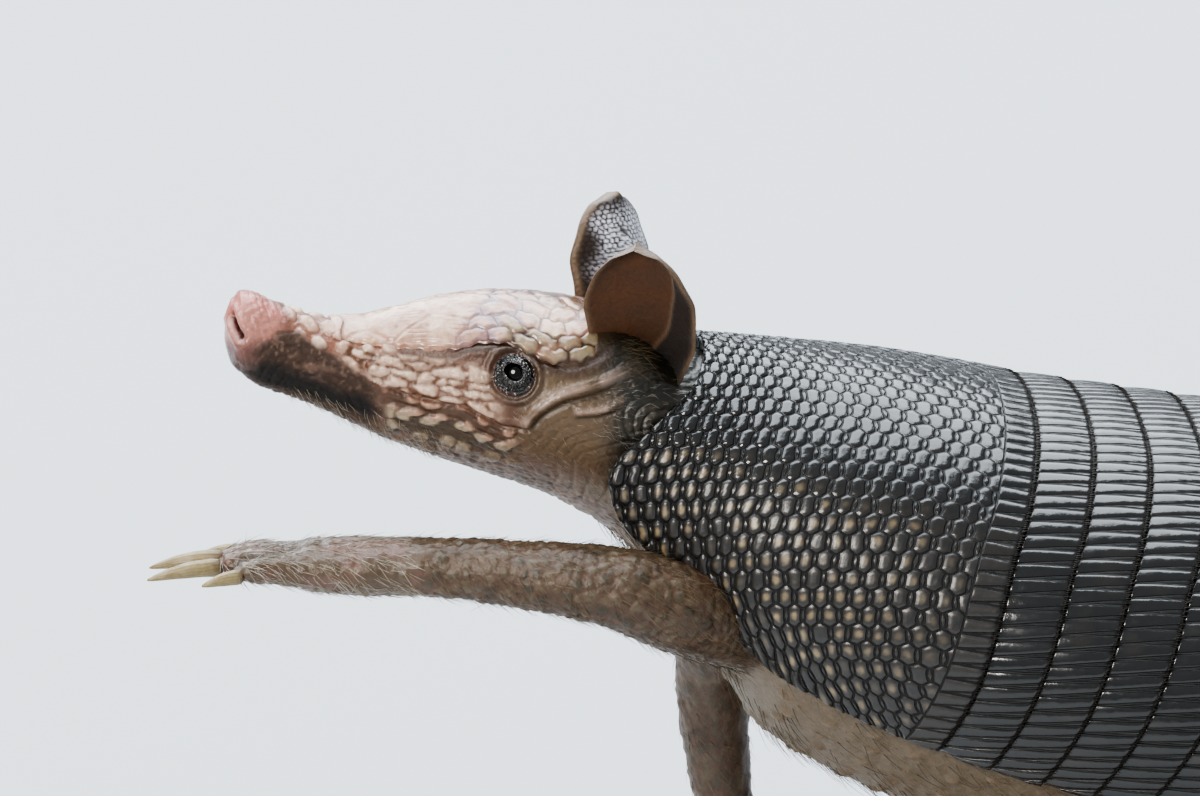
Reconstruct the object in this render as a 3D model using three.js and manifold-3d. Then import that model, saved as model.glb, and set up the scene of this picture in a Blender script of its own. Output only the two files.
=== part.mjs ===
// A nine-banded armadillo in its swimming pose, life size, held up by a plain display stand.
//
// Millimetres, +Z up. The part's frame: the head points to -X, the animal's left side to -Y, and
// the origin is the centre of the stand's underside.
// The animal is built in a body frame of its own, level, with its origin on the nape where the
// shoulder shield begins: +X to the tail, +Y to the right side, +Z to the back. One group then
// pitches it nose up and lifts it to its height over the stand.
import * as THREE from "three";
import { mergeVertices } from "three/addons/utils/BufferGeometryUtils.js";
import Module from "manifold-3d";

const wasm = await Module();
wasm.setup();

// ---------------------------------------------------------------- driving dimensions
const PITCH = THREE.MathUtils.degToRad(18); // nose up
const NAPE = { x: -128, z: 275 }; // where the body frame's origin stands in the part's frame
const GAP = 0.35; // between neighbouring solids

const SHELL_T = 3; // thickness of the carapace
const SHIELD_END = 80; // the shoulder shield's rear edge on the midline
const BANDS = 9;
const BAND_PITCH = 13.4; // from band to band on the midline
const BAND_PITCH_FLANK = 14; // the same on the flank
const BAND_PITCH_LOW = 12.6; // and at the lower edge, where the bands run together
const EDGE_ANGLE = 116; // degrees from the midline to the carapace's lower edge

const HEAD_REAR = -20;
const NECK_REAR = 6;
const TRUNK_REAR = 288;

const EYE = { x: -47.5, y: 17.6, z: -7.2, r: 4.8 };
const EAR = { length: 38.4, halfWidth: 13.6, cup: 8, thick: 2 };
const TAIL_RINGS = 9;
const SIDE = { left: -1, right: 1 };

const BASE = { length: 330, width: 170, height: 15, corner: 24, bevel: 2 };
const ROD_R = 4.5;
const ROD_X = [-78, 62]; // where the two rods stand

// ---------------------------------------------------------------- small helpers
const clamp01 = (t) => Math.min(1, Math.max(0, t));
const smooth = (a, b, t) => {
  const s = clamp01((t - a) / (b - a));
  return s * s * (3 - 2 * s);
};

// A smooth curve through keyed values: keys rise, and the slope at each key is limited so that the
// curve never overshoots its neighbours.
function curve(keys, values) {
  const n = keys.length;
  const rise = keys.slice(1).map((k, i) => (values[i + 1] - values[i]) / (k - keys[i]));
  const slope = keys.map((_, i) => {
    if (i === 0) return rise[0];
    if (i === n - 1) return rise[n - 2];
    if (rise[i - 1] * rise[i] <= 0) return 0;
    return (2 * rise[i - 1] * rise[i]) / (rise[i - 1] + rise[i]);
  });
  return (x) => {
    if (x <= keys[0]) return values[0];
    if (x >= keys[n - 1]) return values[n - 1];
    let i = 0;
    while (x > keys[i + 1]) i++;
    const h = keys[i + 1] - keys[i];
    const t = (x - keys[i]) / h;
    const t2 = t * t;
    const t3 = t2 * t;
    return (
      (2 * t3 - 3 * t2 + 1) * values[i] +
      (t3 - 2 * t2 + t) * h * slope[i] +
      (3 * t2 - 2 * t3) * values[i + 1] +
      (t3 - t2) * h * slope[i + 1]
    );
  };
}

// Columns of a table of stations, each as a smooth curve over its first column.
function profile(rows) {
  const keys = rows.map((r) => r[0]);
  const [top, bottom, half, mid] = [1, 2, 3, 4].map((c) => curve(keys, rows.map((r) => r[c])));
  return (x) => ({ top: top(x), bottom: bottom(x), half: half(x), mid: mid(x) });
}

// A closed geometry from rings of equal length: a skin between them and a fan over each end.
function fromRings(rings) {
  const sides = rings[0].length;
  const vertices = rings.flat().flatMap((p) => [p.x, p.y, p.z]);
  const index = [];
  for (let r = 0; r + 1 < rings.length; r++)
    for (let s = 0; s < sides; s++) {
      const a = r * sides + s;
      const b = r * sides + ((s + 1) % sides);
      index.push(a, b, b + sides, a, b + sides, a + sides);
    }
  for (const [ring, first, turn] of [
    [rings[0], 0, true],
    [rings.at(-1), (rings.length - 1) * sides, false],
  ]) {
    const centre = new THREE.Vector3();
    ring.forEach((p) => centre.addScaledVector(p, 1 / sides));
    const hub = vertices.length / 3;
    vertices.push(centre.x, centre.y, centre.z);
    for (let s = 0; s < sides; s++) {
      const a = first + s;
      const b = first + ((s + 1) % sides);
      index.push(...(turn ? [hub, b, a] : [hub, a, b]));
    }
  }
  const made = new THREE.BufferGeometry();
  made.setAttribute("position", new THREE.Float32BufferAttribute(vertices, 3));
  made.setIndex(index);
  return made;
}

// A geometry as a manifold-3d solid, and back. A solid that came out inside out is turned.
function solid(geometry) {
  const bare = geometry.clone();
  bare.deleteAttribute("normal");
  bare.deleteAttribute("uv");
  const merged = mergeVertices(bare, 1e-4);
  const triVerts = new Uint32Array(merged.index.array);
  const mesh = { numProp: 3, vertProperties: merged.attributes.position.array, triVerts };
  const made = new wasm.Manifold(new wasm.Mesh(mesh));
  if (made.volume() > 0) return made;
  for (let i = 0; i < triVerts.length; i += 3)
    [triVerts[i + 1], triVerts[i + 2]] = [triVerts[i + 2], triVerts[i + 1]];
  return new wasm.Manifold(new wasm.Mesh(mesh));
}

function geometryOf(made) {
  const { vertProperties, triVerts } = made.getMesh();
  return new THREE.BufferGeometry()
    .setAttribute("position", new THREE.BufferAttribute(vertProperties, 3))
    .setIndex(new THREE.BufferAttribute(triVerts, 1));
}

// What is left of a solid when its neighbours are cut away: the largest piece of it.
function carve(made, ...others) {
  const left = others.reduce((a, b) => a.subtract(b), made);
  return left.decompose().reduce((a, b) => (a.volume() > b.volume() ? a : b));
}

const join = (first, ...others) => others.reduce((a, b) => a.add(b), first);

// ---------------------------------------------------------------- the body's sections
// Flesh of the head and neck. Columns: x, top, bottom, half width, height of the widest level.
const HEAD = profile([
  [-116, -3.5, -11.5, 4, -8],
  [-114.5, 1.2, -15.5, 8, -8.6],
  [-111, 1.2, -18.5, 9.6, -10],
  [-106, -0.4, -21.4, 10, -12],
  [-100, -1.9, -22.9, 9.8, -13.3],
  [-92, -3.4, -25, 10.3, -14.4],
  [-84, -2.8, -27.8, 11.4, -15],
  [-75, 0.3, -31, 13.4, -15],
  [-65, 3.7, -33.5, 16, -14.5],
  [-57, 5.6, -35.5, 18.4, -14],
  [-50, 6.3, -37, 20.4, -13],
  [-43, 6.6, -38.5, 21.8, -13],
  [-35, 6.4, -40.5, 22.6, -14],
  [-26, 5.2, -44, 23.4, -17],
  [-16, 2.2, -49, 25, -21],
  [-6, -2, -57, 28.5, -28],
  [6, -4, -70, 36, -38],
]);

// Outer surface of the carapace, with the belly as its bottom. Same columns.
const SHELL = profile([
  [-20, -2, -62, 33, -36],
  [0, 0, -76, 42, -42],
  [20, -0.2, -90, 52, -48],
  [42, -0.6, -101, 60, -53],
  [66, -2.4, -109, 66, -57],
  [82, -4.2, -113, 69, -59],
  [120, -6.4, -117, 74, -62],
  [160, -8, -120, 76, -63],
  [200, -8.8, -119, 74.5, -63],
  [235, -12, -113, 68, -62],
  [262, -21, -103, 55, -61],
  [280, -32, -92, 40, -61],
  [292, -41, -84, 27, -62],
]);

const BODY_POWER = 2.05; // 2 is an ellipse, more is squarer
const SIDES = 20;

// The point of a section at an angle from its top, counted towards the right side.
function section(at, x, angle, grow = 0, power = BODY_POWER) {
  const p = at(x);
  const bend = (v) => Math.sign(v) * Math.abs(v) ** (2 / power);
  const up = bend(Math.cos(angle));
  const reach = up > 0 ? p.top - p.mid : p.mid - p.bottom;
  return new THREE.Vector3(
    x,
    (p.half + grow) * bend(Math.sin(angle)),
    p.mid + (reach + grow) * up,
  );
}

const ringAt = (at, x, grow, sides = SIDES, endX = x) =>
  Array.from({ length: sides }, (_, s) => {
    const p = section(at, x, (2 * Math.PI * s) / sides, grow);
    p.x = endX;
    return p;
  });

// A loft along X through the given stations. A grown one is also longer by that much at each end.
function axialLoft(at, stations, grow = 0, sides = SIDES) {
  const rings = stations.map((x) => ringAt(at, x, grow, sides));
  if (grow > 0) {
    const [first, last] = [stations[0], stations.at(-1)];
    rings.unshift(ringAt(at, first, grow, sides, first - grow));
    rings.push(ringAt(at, last, grow, sides, last + grow));
  }
  return solid(fromRings(rings));
}

const steps = (a, b, n) => Array.from({ length: n + 1 }, (_, i) => a + ((b - a) * i) / n);

// Under the carapace the trunk is thinner by the plates; the belly keeps its full depth.
const INSET = SHELL_T + 1.4;
function trunkProfile(x) {
  const neck = HEAD(x);
  const shell = SHELL(x);
  const t = smooth(NECK_REAR - 8, NECK_REAR + 22, x);
  const mix = (a, b) => a + (b - a) * t;
  return {
    top: mix(neck.top, shell.top - INSET),
    bottom: mix(neck.bottom, shell.bottom),
    half: mix(neck.half, shell.half - INSET),
    mid: mix(neck.mid, shell.mid),
  };
}

const trunk = (grow = 0) =>
  axialLoft(
    trunkProfile,
    [...steps(NECK_REAR + GAP, 36, 3), ...steps(54, 234, 7), 255, 272, TRUNK_REAR],
    grow,
  );
const neck = (grow = 0) =>
  axialLoft(trunkProfile, steps(HEAD_REAR + GAP, NECK_REAR, 4), grow);
const headWhole = (grow = 0) =>
  axialLoft(
    HEAD,
    [-116, -115.2, -113.6, -110, ...steps(-105, -65, 6), ...steps(-58, HEAD_REAR, 6)],
    grow,
  );

// ---------------------------------------------------------------- plates
// A curved plate on a section profile: every point has an angle from the midline and a place
// between a front and a rear edge, which are functions of that angle.
function plate(at, { front, rear, angles, along, lift = 0, thick = SHELL_T, raise = 0, grow = 0 }) {
  const rings = angles.map((degrees, i) => {
    const side = i === 0 ? -1 : i === angles.length - 1 ? 1 : 0;
    const angle = THREE.MathUtils.degToRad(degrees + (side * grow) / 0.9);
    const a = Math.abs(degrees);
    const [x0, x1] = [front(a) - grow, rear(a) + grow];
    const xs = steps(x0, x1, along);
    const rise = (x) => lift + (raise * (x - x0)) / (x1 - x0);
    return [
      ...xs.map((x) => section(at, x, angle, rise(x) + grow)),
      ...xs.reverse().map((x) => section(at, x, angle, rise(x) - thick - grow)),
    ];
  });
  return solid(fromRings(rings));
}

const spread = (limit, n) => steps(-limit, limit, n);

// The shoulder shield's front edge reaches forward beside the neck, and its lower corner is cut
// back over the arm. Its rear edge runs forward on the flanks, and the bands follow it.
const shieldFront = curve([0, 25, 50, 75, 92, 106, EDGE_ANGLE], [0, -4, -15, -24, -20, -2, 20]);
const shieldRear = curve(
  [0, 20, 35, 47, 60, 90, EDGE_ANGLE],
  [0.8, -0.6, -3, -5.5, -9, -14, -20].map((back) => SHIELD_END + back),
);
const bandPitch = curve([0, 35, 60, EDGE_ANGLE], [BAND_PITCH, BAND_PITCH_FLANK, BAND_PITCH_FLANK, BAND_PITCH_LOW]);
const bandEdge = (i) => (a) => shieldRear(a) + i * bandPitch(a);
const rumpEdge = curve([0, 30, 60, 85, 102, EDGE_ANGLE], [290, 287, 279, 266, 250, 226]);

const shoulderShield = (grow = 0) =>
  plate(SHELL, {
    front: shieldFront,
    rear: (a) => shieldRear(a) - GAP,
    angles: spread(EDGE_ANGLE, 20),
    along: 4,
    grow,
  });
const band = (i) =>
  plate(SHELL, {
    front: bandEdge(i),
    rear: (a) => bandEdge(i + 1)(a) - GAP,
    angles: spread(EDGE_ANGLE, 18),
    along: 1,
    lift: -1.1,
    raise: 1.1,
    thick: SHELL_T - 1,
  });
const pelvicShield = (grow = 0) =>
  plate(SHELL, {
    front: bandEdge(BANDS),
    rear: rumpEdge,
    angles: spread(EDGE_ANGLE, 20),
    along: 4,
    grow,
  });

// The horny plate over the forehead and the bridge of the snout.
const BROW = curve([-92, -80, -62, -50, -40, -30], [40, 48, 58, 62, 64, 50]);
const SHIELD_X = [-91, -28];
function headShield(grow = 0) {
  const rings = steps(SHIELD_X[0] - grow, SHIELD_X[1] + grow, 7).map((x) => {
    const limit = BROW(x) + grow * 3;
    const angles = steps(-limit, limit, 8).map(THREE.MathUtils.degToRad);
    return [
      ...angles.map((a) => section(HEAD, x, a, 0.7 + grow)),
      ...angles.reverse().map((a) => section(HEAD, x, a, -1.3 - grow)),
    ];
  });
  return solid(fromRings(rings));
}

// ---------------------------------------------------------------- limbs, tail and claws
// A tube along a smooth path with an oval section: half sizes [across, through] at each point.
// `from` and `to` are shares of its length. `across` is the direction of the first half size.
function tube({ path, sizes, from = 0, to = 1, rings = 7, sides = 10, grow = 0, across }) {
  const line = new THREE.CatmullRomCurve3(path.map((p) => new THREE.Vector3(...p)));
  const keys = path.map((_, i) => i / (path.length - 1));
  const a = curve(keys, sizes.map((s) => s[0]));
  const b = curve(keys, sizes.map((s) => s[1]));
  const share = (t) => line.getUtoTmapping(t);
  return solid(
    fromRings(
      steps(from, to, rings).map((t, i) => {
        const u = share(t);
        const centre = line.getPoint(u);
        const ahead = line.getTangent(u);
        const end = i === 0 ? -grow : i === rings ? grow : 0;
        centre.addScaledVector(ahead, end);
        const side = new THREE.Vector3(...across);
        side.addScaledVector(ahead, -side.dot(ahead)).normalize();
        const through = new THREE.Vector3().crossVectors(ahead, side);
        return Array.from({ length: sides }, (_, s) => {
          const angle = (2 * Math.PI * s) / sides;
          return centre
            .clone()
            .addScaledVector(side, (a(u) + grow) * Math.cos(angle))
            .addScaledVector(through, (b(u) + grow) * Math.sin(angle));
        });
      }),
    ),
  );
}

// Each leg runs from inside the trunk to the toes; `split` is the share of its length where the
// foot begins. Toes leave the foot's end in a fan, and each carries one claw.
const FORE_SIZES = [[15, 13], [14, 12], [11, 9.5], [8, 7], [9.5, 6.5], [8.5, 4.5]];
const HIND_SIZES = [[22, 17], [21, 16], [13, 12], [8, 7.5], [10, 7], [10, 5]];
const FORE_TOES = [
  { spread: -14, length: 7, claw: 10, r: 2.8 },
  { spread: -4, length: 11, claw: 18, r: 3.3 },
  { spread: 5, length: 10, claw: 18, r: 3.3 },
  { spread: 15, length: 6, claw: 10, r: 2.8 },
];
const HIND_TOES = [
  { spread: -22, length: 6, claw: 10, r: 2.7 },
  { spread: -10, length: 11, claw: 15, r: 3.3 },
  { spread: 0, length: 13, claw: 18, r: 3.6 },
  { spread: 10, length: 11, claw: 15, r: 3.3 },
  { spread: 21, length: 6, claw: 10, r: 2.7 },
];

// `down` is the direction that the sole faces, and `droop` how far the claws bend to it.
const LEGS = [
  {
    name: "foreleg_left", foot: "forefoot_left", claws: "claw_fore_left",
    path: [[16, -24, -60], [-2, -37, -55], [-21, -42, -50], [-64, -32, -52.5], [-86, -28, -56], [-102.5, -27, -57]],
    sizes: FORE_SIZES, toes: FORE_TOES, split: 0.76, across: [0, 1, 0], down: [0.05, 0, -1], droop: 0.22,
  },
  {
    name: "foreleg_right", foot: "forefoot_right", claws: "claw_fore_right",
    path: [[20, 24, -66], [24, 37, -82], [24, 44, -100], [34, 42, -140], [40, 40, -155], [47, 39, -168]],
    sizes: FORE_SIZES, toes: FORE_TOES, split: 0.76, across: [0, 1, 0], down: [-1, 0, -0.3], droop: 0.3,
  },
  {
    name: "hindleg_left", foot: "hindfoot_left", claws: "claw_hind_left",
    path: [[212, -34, -78], [206, -50, -104], [214, -56, -124], [252, -54, -142], [272, -53, -148], [290, -52, -152]],
    sizes: HIND_SIZES, toes: HIND_TOES, split: 0.72, across: [0, 1, 0], down: [0.2, 0, -1], droop: 0.3,
  },
  {
    name: "hindleg_right", foot: "hindfoot_right", claws: "claw_hind_right",
    path: [[208, 34, -78], [190, 50, -102], [180, 56, -122], [196, 54, -150], [180, 53, -164], [162, 52, -172]],
    sizes: HIND_SIZES, toes: HIND_TOES, split: 0.7, across: [0, 1, 0], down: [-0.2, 0, -1], droop: 0.3,
  },
];

// Where each toe of a leg starts, the way it points, and the side of its sole.
function toesOf(leg) {
  const tip = new THREE.Vector3(...leg.path.at(-1));
  const ahead = tip.clone().sub(new THREE.Vector3(...leg.path.at(-2))).normalize();
  const sole = new THREE.Vector3(...leg.down).normalize();
  sole.addScaledVector(ahead, -sole.dot(ahead)).normalize();
  const side = new THREE.Vector3().crossVectors(sole, ahead);
  const [halfWidth] = leg.sizes.at(-1);
  const widest = leg.toes.at(-1).spread;
  return leg.toes.map((toe) => {
    const turn = THREE.MathUtils.degToRad(toe.spread);
    const points = ahead.clone().multiplyScalar(Math.cos(turn)).addScaledVector(side, Math.sin(turn));
    const start = tip
      .clone()
      .addScaledVector(side, (halfWidth * 0.82 * toe.spread) / widest)
      .addScaledVector(ahead, -4);
    return { ...toe, start, points, sole };
  });
}

const along = (start, direction, far, other, offset) =>
  start.clone().addScaledVector(direction, far).addScaledVector(other, offset).toArray();

const toeSolid = ({ start, points, sole, length, r }, across) =>
  tube({
    path: [
      along(start, points, 0, sole, 0),
      along(start, points, length * 0.6, sole, 0.2),
      along(start, points, length + 3, sole, 0.8),
    ],
    sizes: [[r, r], [r * 1.02, r], [r * 0.86, r * 0.84]],
    rings: 2,
    sides: 6,
    across,
  });

function clawSolid({ start, points, sole, length, claw, r }, droop, across) {
  const root = length + 3 + GAP;
  const at = (share) => along(start, points, root + claw * share, sole, 0.8 + droop * claw * share ** 1.8);
  return tube({
    path: [at(0), at(0.35), at(0.7), at(1)],
    sizes: [[r * 0.8, r * 0.8], [r * 0.72, r * 0.76], [r * 0.5, r * 0.52], [0.35, 0.4]],
    rings: 3,
    sides: 6,
    across,
  });
}

const TAIL_PATH = [[282, 0, -60], [330, 1, -68], [400, 5, -63], [480, 12, -44], [552, 22, -18], [610, 34, 4]];
const TAIL_SIZES = [[21, 20], [18.5, 17.5], [13.5, 13], [9, 8.6], [5.6, 5.4], [2.2, 2.2]];
const TAIL_TIP = 0.58; // where the rings end and the scaly tip begins

// A tail ring is a little wider at its rear edge than where the last one covers it.
function tailPiece(i) {
  const cut = (n) => (TAIL_TIP * n) / TAIL_RINGS;
  const isTip = i === TAIL_RINGS;
  const gap = GAP / 340; // as a share of the tail's length
  return tube({
    path: TAIL_PATH,
    sizes: TAIL_SIZES,
    from: cut(i) + gap,
    to: isTip ? 1 : cut(i + 1),
    rings: isTip ? 6 : 1,
    sides: isTip ? 10 : 12,
    across: [0, 1, 0],
  });
}

// ---------------------------------------------------------------- eyes and ears
const eye = (side, grow = 0) => {
  const ball = new THREE.SphereGeometry(EYE.r + grow, 10, 8);
  ball.translate(EYE.x, side * EYE.y, EYE.z);
  return solid(ball);
};

// The ear is a leaf-shaped cup that opens forward and outward. `across` runs from its front rim to
// its rear rim, `up` from its root to its tip, and `back` out of its rounded side.
const EAR_OUTLINE = curve([0, 0.12, 0.35, 0.6, 0.8, 0.93, 1], [0.5, 0.68, 0.95, 1, 0.8, 0.48, 0.12]);
const EAR_STANDS = {
  left: { root: [-14.5, -14, -9], up: [-0.32, -0.3, 1], back: [0.36, 0.93, 0.1] }, // opens more to its side
  right: { root: [-17.8, 14, -9], up: [-0.26, 0.3, 1], back: [0.62, -0.75, 0.1] },
};
function ear(name, grow = 0) {
  const side = SIDE[name];
  const up = new THREE.Vector3(...EAR_STANDS[name].up).normalize();
  const back = new THREE.Vector3(...EAR_STANDS[name].back);
  back.addScaledVector(up, -back.dot(up)).normalize();
  const across = new THREE.Vector3().crossVectors(up, back).multiplyScalar(side);
  const root = new THREE.Vector3(...EAR_STANDS[name].root);
  const surface = (u, v, offset) => {
    const half = EAR.halfWidth * EAR_OUTLINE(v);
    const cup = EAR.cup * (1 - u * u) * (1 - 0.55 * v);
    const curl = 3.5 * v * v;
    return root
      .clone()
      .addScaledVector(up, EAR.length * v)
      .addScaledVector(across, half * u)
      .addScaledVector(back, cup + curl + offset);
  };
  const columns = steps(-1, 1, 6);
  const half = EAR.thick / 2 + grow;
  const rings = steps(0, 1, 7).map((v) => {
    const edge = (u) => half * (1 - 0.55 * Math.abs(u) ** 3);
    return [
      ...columns.map((u) => surface(u, v, edge(u))),
      ...[...columns].reverse().map((u) => surface(u, v, -edge(u))),
    ];
  });
  return solid(fromRings(rings));
}

// ---------------------------------------------------------------- the stand
function baseGeometry() {
  const { length, width, height, corner, bevel } = BASE;
  const [l, w, c] = [length / 2 - bevel, width / 2 - bevel, corner];
  const outline = new THREE.Shape();
  outline.moveTo(-l + c, -w);
  outline.lineTo(l - c, -w);
  outline.absarc(l - c, -w + c, c, -Math.PI / 2, 0);
  outline.absarc(l - c, w - c, c, 0, Math.PI / 2);
  outline.absarc(-l + c, w - c, c, Math.PI / 2, Math.PI);
  outline.absarc(-l + c, -w + c, c, Math.PI, 1.5 * Math.PI);
  const made = new THREE.ExtrudeGeometry(outline, {
    depth: height - 2 * bevel,
    bevelEnabled: true,
    bevelThickness: bevel,
    bevelSize: bevel,
    bevelSegments: 1,
    curveSegments: 3,
  });
  return made.translate(0, 0, bevel);
}

function rod(x, bodyMatrix) {
  const tall = NAPE.z - BASE.height;
  const bar = new THREE.CylinderGeometry(ROD_R, ROD_R, tall, 16);
  bar.rotateX(Math.PI / 2).translate(x, 0, BASE.height + GAP + tall / 2);
  const body = geometryOf(trunk(GAP)).applyMatrix4(bodyMatrix);
  const parts = solid(bar).subtract(solid(body)).decompose();
  return parts.reduce((a, b) => (a.boundingBox().min[2] < b.boundingBox().min[2] ? a : b));
}

// ---------------------------------------------------------------- materials
const material = (color, roughness) => new THREE.MeshStandardMaterial({ color, roughness, metalness: 0 });
const FACE = material(0xc9a08a, 0.45);
const SKIN = material(0x8f7763, 0.55);
const PLATE = material(0x3b3a36, 0.32);
const HORN = material(0xd8c3ae, 0.38);
const EARS = material(0x4d3a2e, 0.5);
const EYES = material(0x0b0a0a, 0.08);
const CLAW = material(0xe3cfa2, 0.35);
const WOOD = material(0x5a4636, 0.5);
const STEEL = new THREE.MeshStandardMaterial({ color: 0x9a9b9c, roughness: 0.35, metalness: 0.9 });

// ---------------------------------------------------------------- assembly
const armadillo = new THREE.Group();
const animal = new THREE.Group();
animal.position.set(NAPE.x, 0, NAPE.z);
animal.rotation.y = PITCH;
animal.updateMatrix();
armadillo.add(animal);

function add(group, name, made, look) {
  const geometry = made.isBufferGeometry ? made : geometryOf(made);
  const mesh = new THREE.Mesh(geometry, look);
  mesh.name = name;
  group.add(mesh);
}

const eyesGrown = Object.values(SIDE).map((s) => eye(s, GAP));
add(animal, "head", carve(headWhole(), headShield(GAP), ...eyesGrown), FACE);
add(animal, "head_shield", carve(headShield(), ...eyesGrown), HORN);
for (const [name, side] of Object.entries(SIDE)) {
  add(animal, `eye_${name}`, eye(side), EYES);
  add(animal, `ear_${name}`, carve(ear(name), headWhole(GAP), headShield(GAP), neck(GAP)), EARS);
}
add(animal, "neck", carve(neck(), shoulderShield(GAP)), SKIN);
add(animal, "trunk", carve(trunk(), pelvicShield(GAP)), SKIN);

add(animal, "shoulder_shield", shoulderShield(), PLATE);
for (let i = 0; i < BANDS; i++) add(animal, `band_${i + 1}`, band(i), PLATE);
add(animal, "pelvic_shield", pelvicShield(), PLATE);

const cover = [trunk(GAP), neck(GAP), shoulderShield(GAP), pelvicShield(GAP)];
for (const leg of LEGS) {
  const shape = { path: leg.path, sizes: leg.sizes, across: leg.across };
  const upper = tube({ ...shape, to: leg.split });
  add(animal, leg.name, carve(upper, ...cover), SKIN);
  const toes = toesOf(leg);
  const palm = tube({ ...shape, from: leg.split + 0.004, rings: 3 });
  add(animal, leg.foot, join(palm, ...toes.map((toe) => toeSolid(toe, leg.across))), SKIN);
  toes.forEach((toe, i) => add(animal, `${leg.claws}_${i + 1}`, clawSolid(toe, leg.droop, leg.across), CLAW));
}
for (let i = 0; i <= TAIL_RINGS; i++)
  add(
    animal,
    i < TAIL_RINGS ? `tail_ring_${i + 1}` : "tail_tip",
    carve(tailPiece(i), trunk(GAP), pelvicShield(GAP)),
    PLATE,
  );

add(armadillo, "stand_base", baseGeometry(), WOOD);
["front", "rear"].forEach((name, i) => add(armadillo, `stand_rod_${name}`, rod(ROD_X[i], animal.matrix), STEEL));

export default armadillo;
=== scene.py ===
"""A nine-banded armadillo, life size, swimming with its head up, held by a plain display stand.

The animal is worked out in a body frame of its own, in millimetres, level, with its origin on the
nape: +X to the tail, +Y to the right side, +Z to the back. `to_part` turns it nose up and brings it
to the frame's metres. The skin, the horny plates, the ears and the hairs are meshes whose points
are moved by fields: functions of the place on the body that say how high the surface stands and
which colour it has.
"""

import math

import bmesh
import bpy
import numpy as np
from mathutils import Matrix, Vector


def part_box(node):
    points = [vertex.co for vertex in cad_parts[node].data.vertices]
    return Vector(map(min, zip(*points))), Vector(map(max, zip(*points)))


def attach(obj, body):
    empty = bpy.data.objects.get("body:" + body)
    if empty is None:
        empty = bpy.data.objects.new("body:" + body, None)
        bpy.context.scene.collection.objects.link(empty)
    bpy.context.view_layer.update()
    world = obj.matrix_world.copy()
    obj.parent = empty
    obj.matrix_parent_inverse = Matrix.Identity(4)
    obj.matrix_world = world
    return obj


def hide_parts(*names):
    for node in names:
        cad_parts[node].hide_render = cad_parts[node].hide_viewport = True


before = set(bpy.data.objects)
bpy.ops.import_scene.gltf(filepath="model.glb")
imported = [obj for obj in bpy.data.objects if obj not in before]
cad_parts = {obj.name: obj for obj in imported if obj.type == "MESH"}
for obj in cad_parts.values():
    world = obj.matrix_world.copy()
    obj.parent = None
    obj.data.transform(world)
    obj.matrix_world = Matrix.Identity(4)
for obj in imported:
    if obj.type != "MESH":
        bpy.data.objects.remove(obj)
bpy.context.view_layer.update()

MM = 0.001  # the body frame's millimetre in metres
WELD = 0.01 * MM  # points nearer than this are joined
PITCH = math.radians(18)
EYE = np.array([-47.5, 17.6, -7.2])  # the middle of the right eyeball
EYE_R = 4.8
EYE_LOOK = np.array([-1.4, 0, 1.7])  # where the lids open, from the eyeball's middle
LID_RING, LID_R = EYE + (-1.1, 0, 0), 5.3  # the lids' outer edge
TURN = np.array(
    [
        [math.cos(PITCH), 0, math.sin(PITCH)],
        [0, 1, 0],
        [-math.sin(PITCH), 0, math.cos(PITCH)],
    ]
)


def node_centre(name):
    low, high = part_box(name)
    return np.array((low + high) / 2) / MM


NAPE = (node_centre("eye_left") + node_centre("eye_right")) / 2 - TURN @ (EYE * (1, 0, 1))


def to_part(points):
    return (np.asarray(points) @ TURN.T + NAPE) * MM


def to_body(points):
    return (np.asarray(points) / MM - NAPE) @ TURN


# ---------------------------------------------------------------- numbers and fields
def smooth(a, b, t):
    s = np.clip((t - a) / (b - a), 0, 1)
    return s * s * (3 - 2 * s)


def hump(distance, width):
    return np.exp(-((distance / width) ** 2))


def unit(v):
    """A direction, or each of many, brought to a length of 1."""
    return v / (np.linalg.norm(v) if v.ndim == 1 else np.linalg.norm(v, axis=-1, keepdims=True))


def turns(count):
    """Angles evenly round a circle."""
    return np.arange(count) * 2 * math.pi / count


def curve(keys, values):
    """A smooth curve through keyed values, whose slopes never make it overshoot them."""
    keys, values = np.array(keys, float), np.array(values, float)
    rise = np.diff(values) / np.diff(keys)
    slope = np.concatenate([rise[:1], np.zeros(len(keys) - 2), rise[-1:]])
    same = rise[:-1] * rise[1:] > 0
    a, b = rise[:-1][same], rise[1:][same]
    slope[1:-1][same] = 2 * a * b / (a + b)

    def at(x):
        x = np.clip(x, keys[0], keys[-1])
        i = np.clip(np.searchsorted(keys, x) - 1, 0, len(keys) - 2)
        h = keys[i + 1] - keys[i]
        t = (x - keys[i]) / h
        start = (2 * t**3 - 3 * t**2 + 1) * values[i] + (t**3 - 2 * t**2 + t) * h * slope[i]
        end = (3 * t**2 - 2 * t**3) * values[i + 1] + (t**3 - t**2) * h * slope[i + 1]
        return start + end

    return at


def chance(a, b, salt):
    """A repeatable value from 0 to 1 for each pair of whole numbers."""
    v = np.sin(a * 127.1 + b * 311.7 + salt * 74.7) * 43758.5453
    return v - np.floor(v)


def cloud(p, size, salt=0):
    """Smooth noise from -1 to 1 with patches of about the given size."""
    q = p / size + salt * 17.3
    i = np.floor(q)
    f = q - i
    f = f * f * (3 - 2 * f)
    total = 0
    for corner in np.ndindex(2, 2, 2):
        x, y, z = (i + corner).T
        w = np.abs(1 - np.array(corner) - f)
        total = total + w[:, 0] * w[:, 1] * w[:, 2] * chance(x + 57 * z, y, salt)
    return 2 * total - 1


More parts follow.
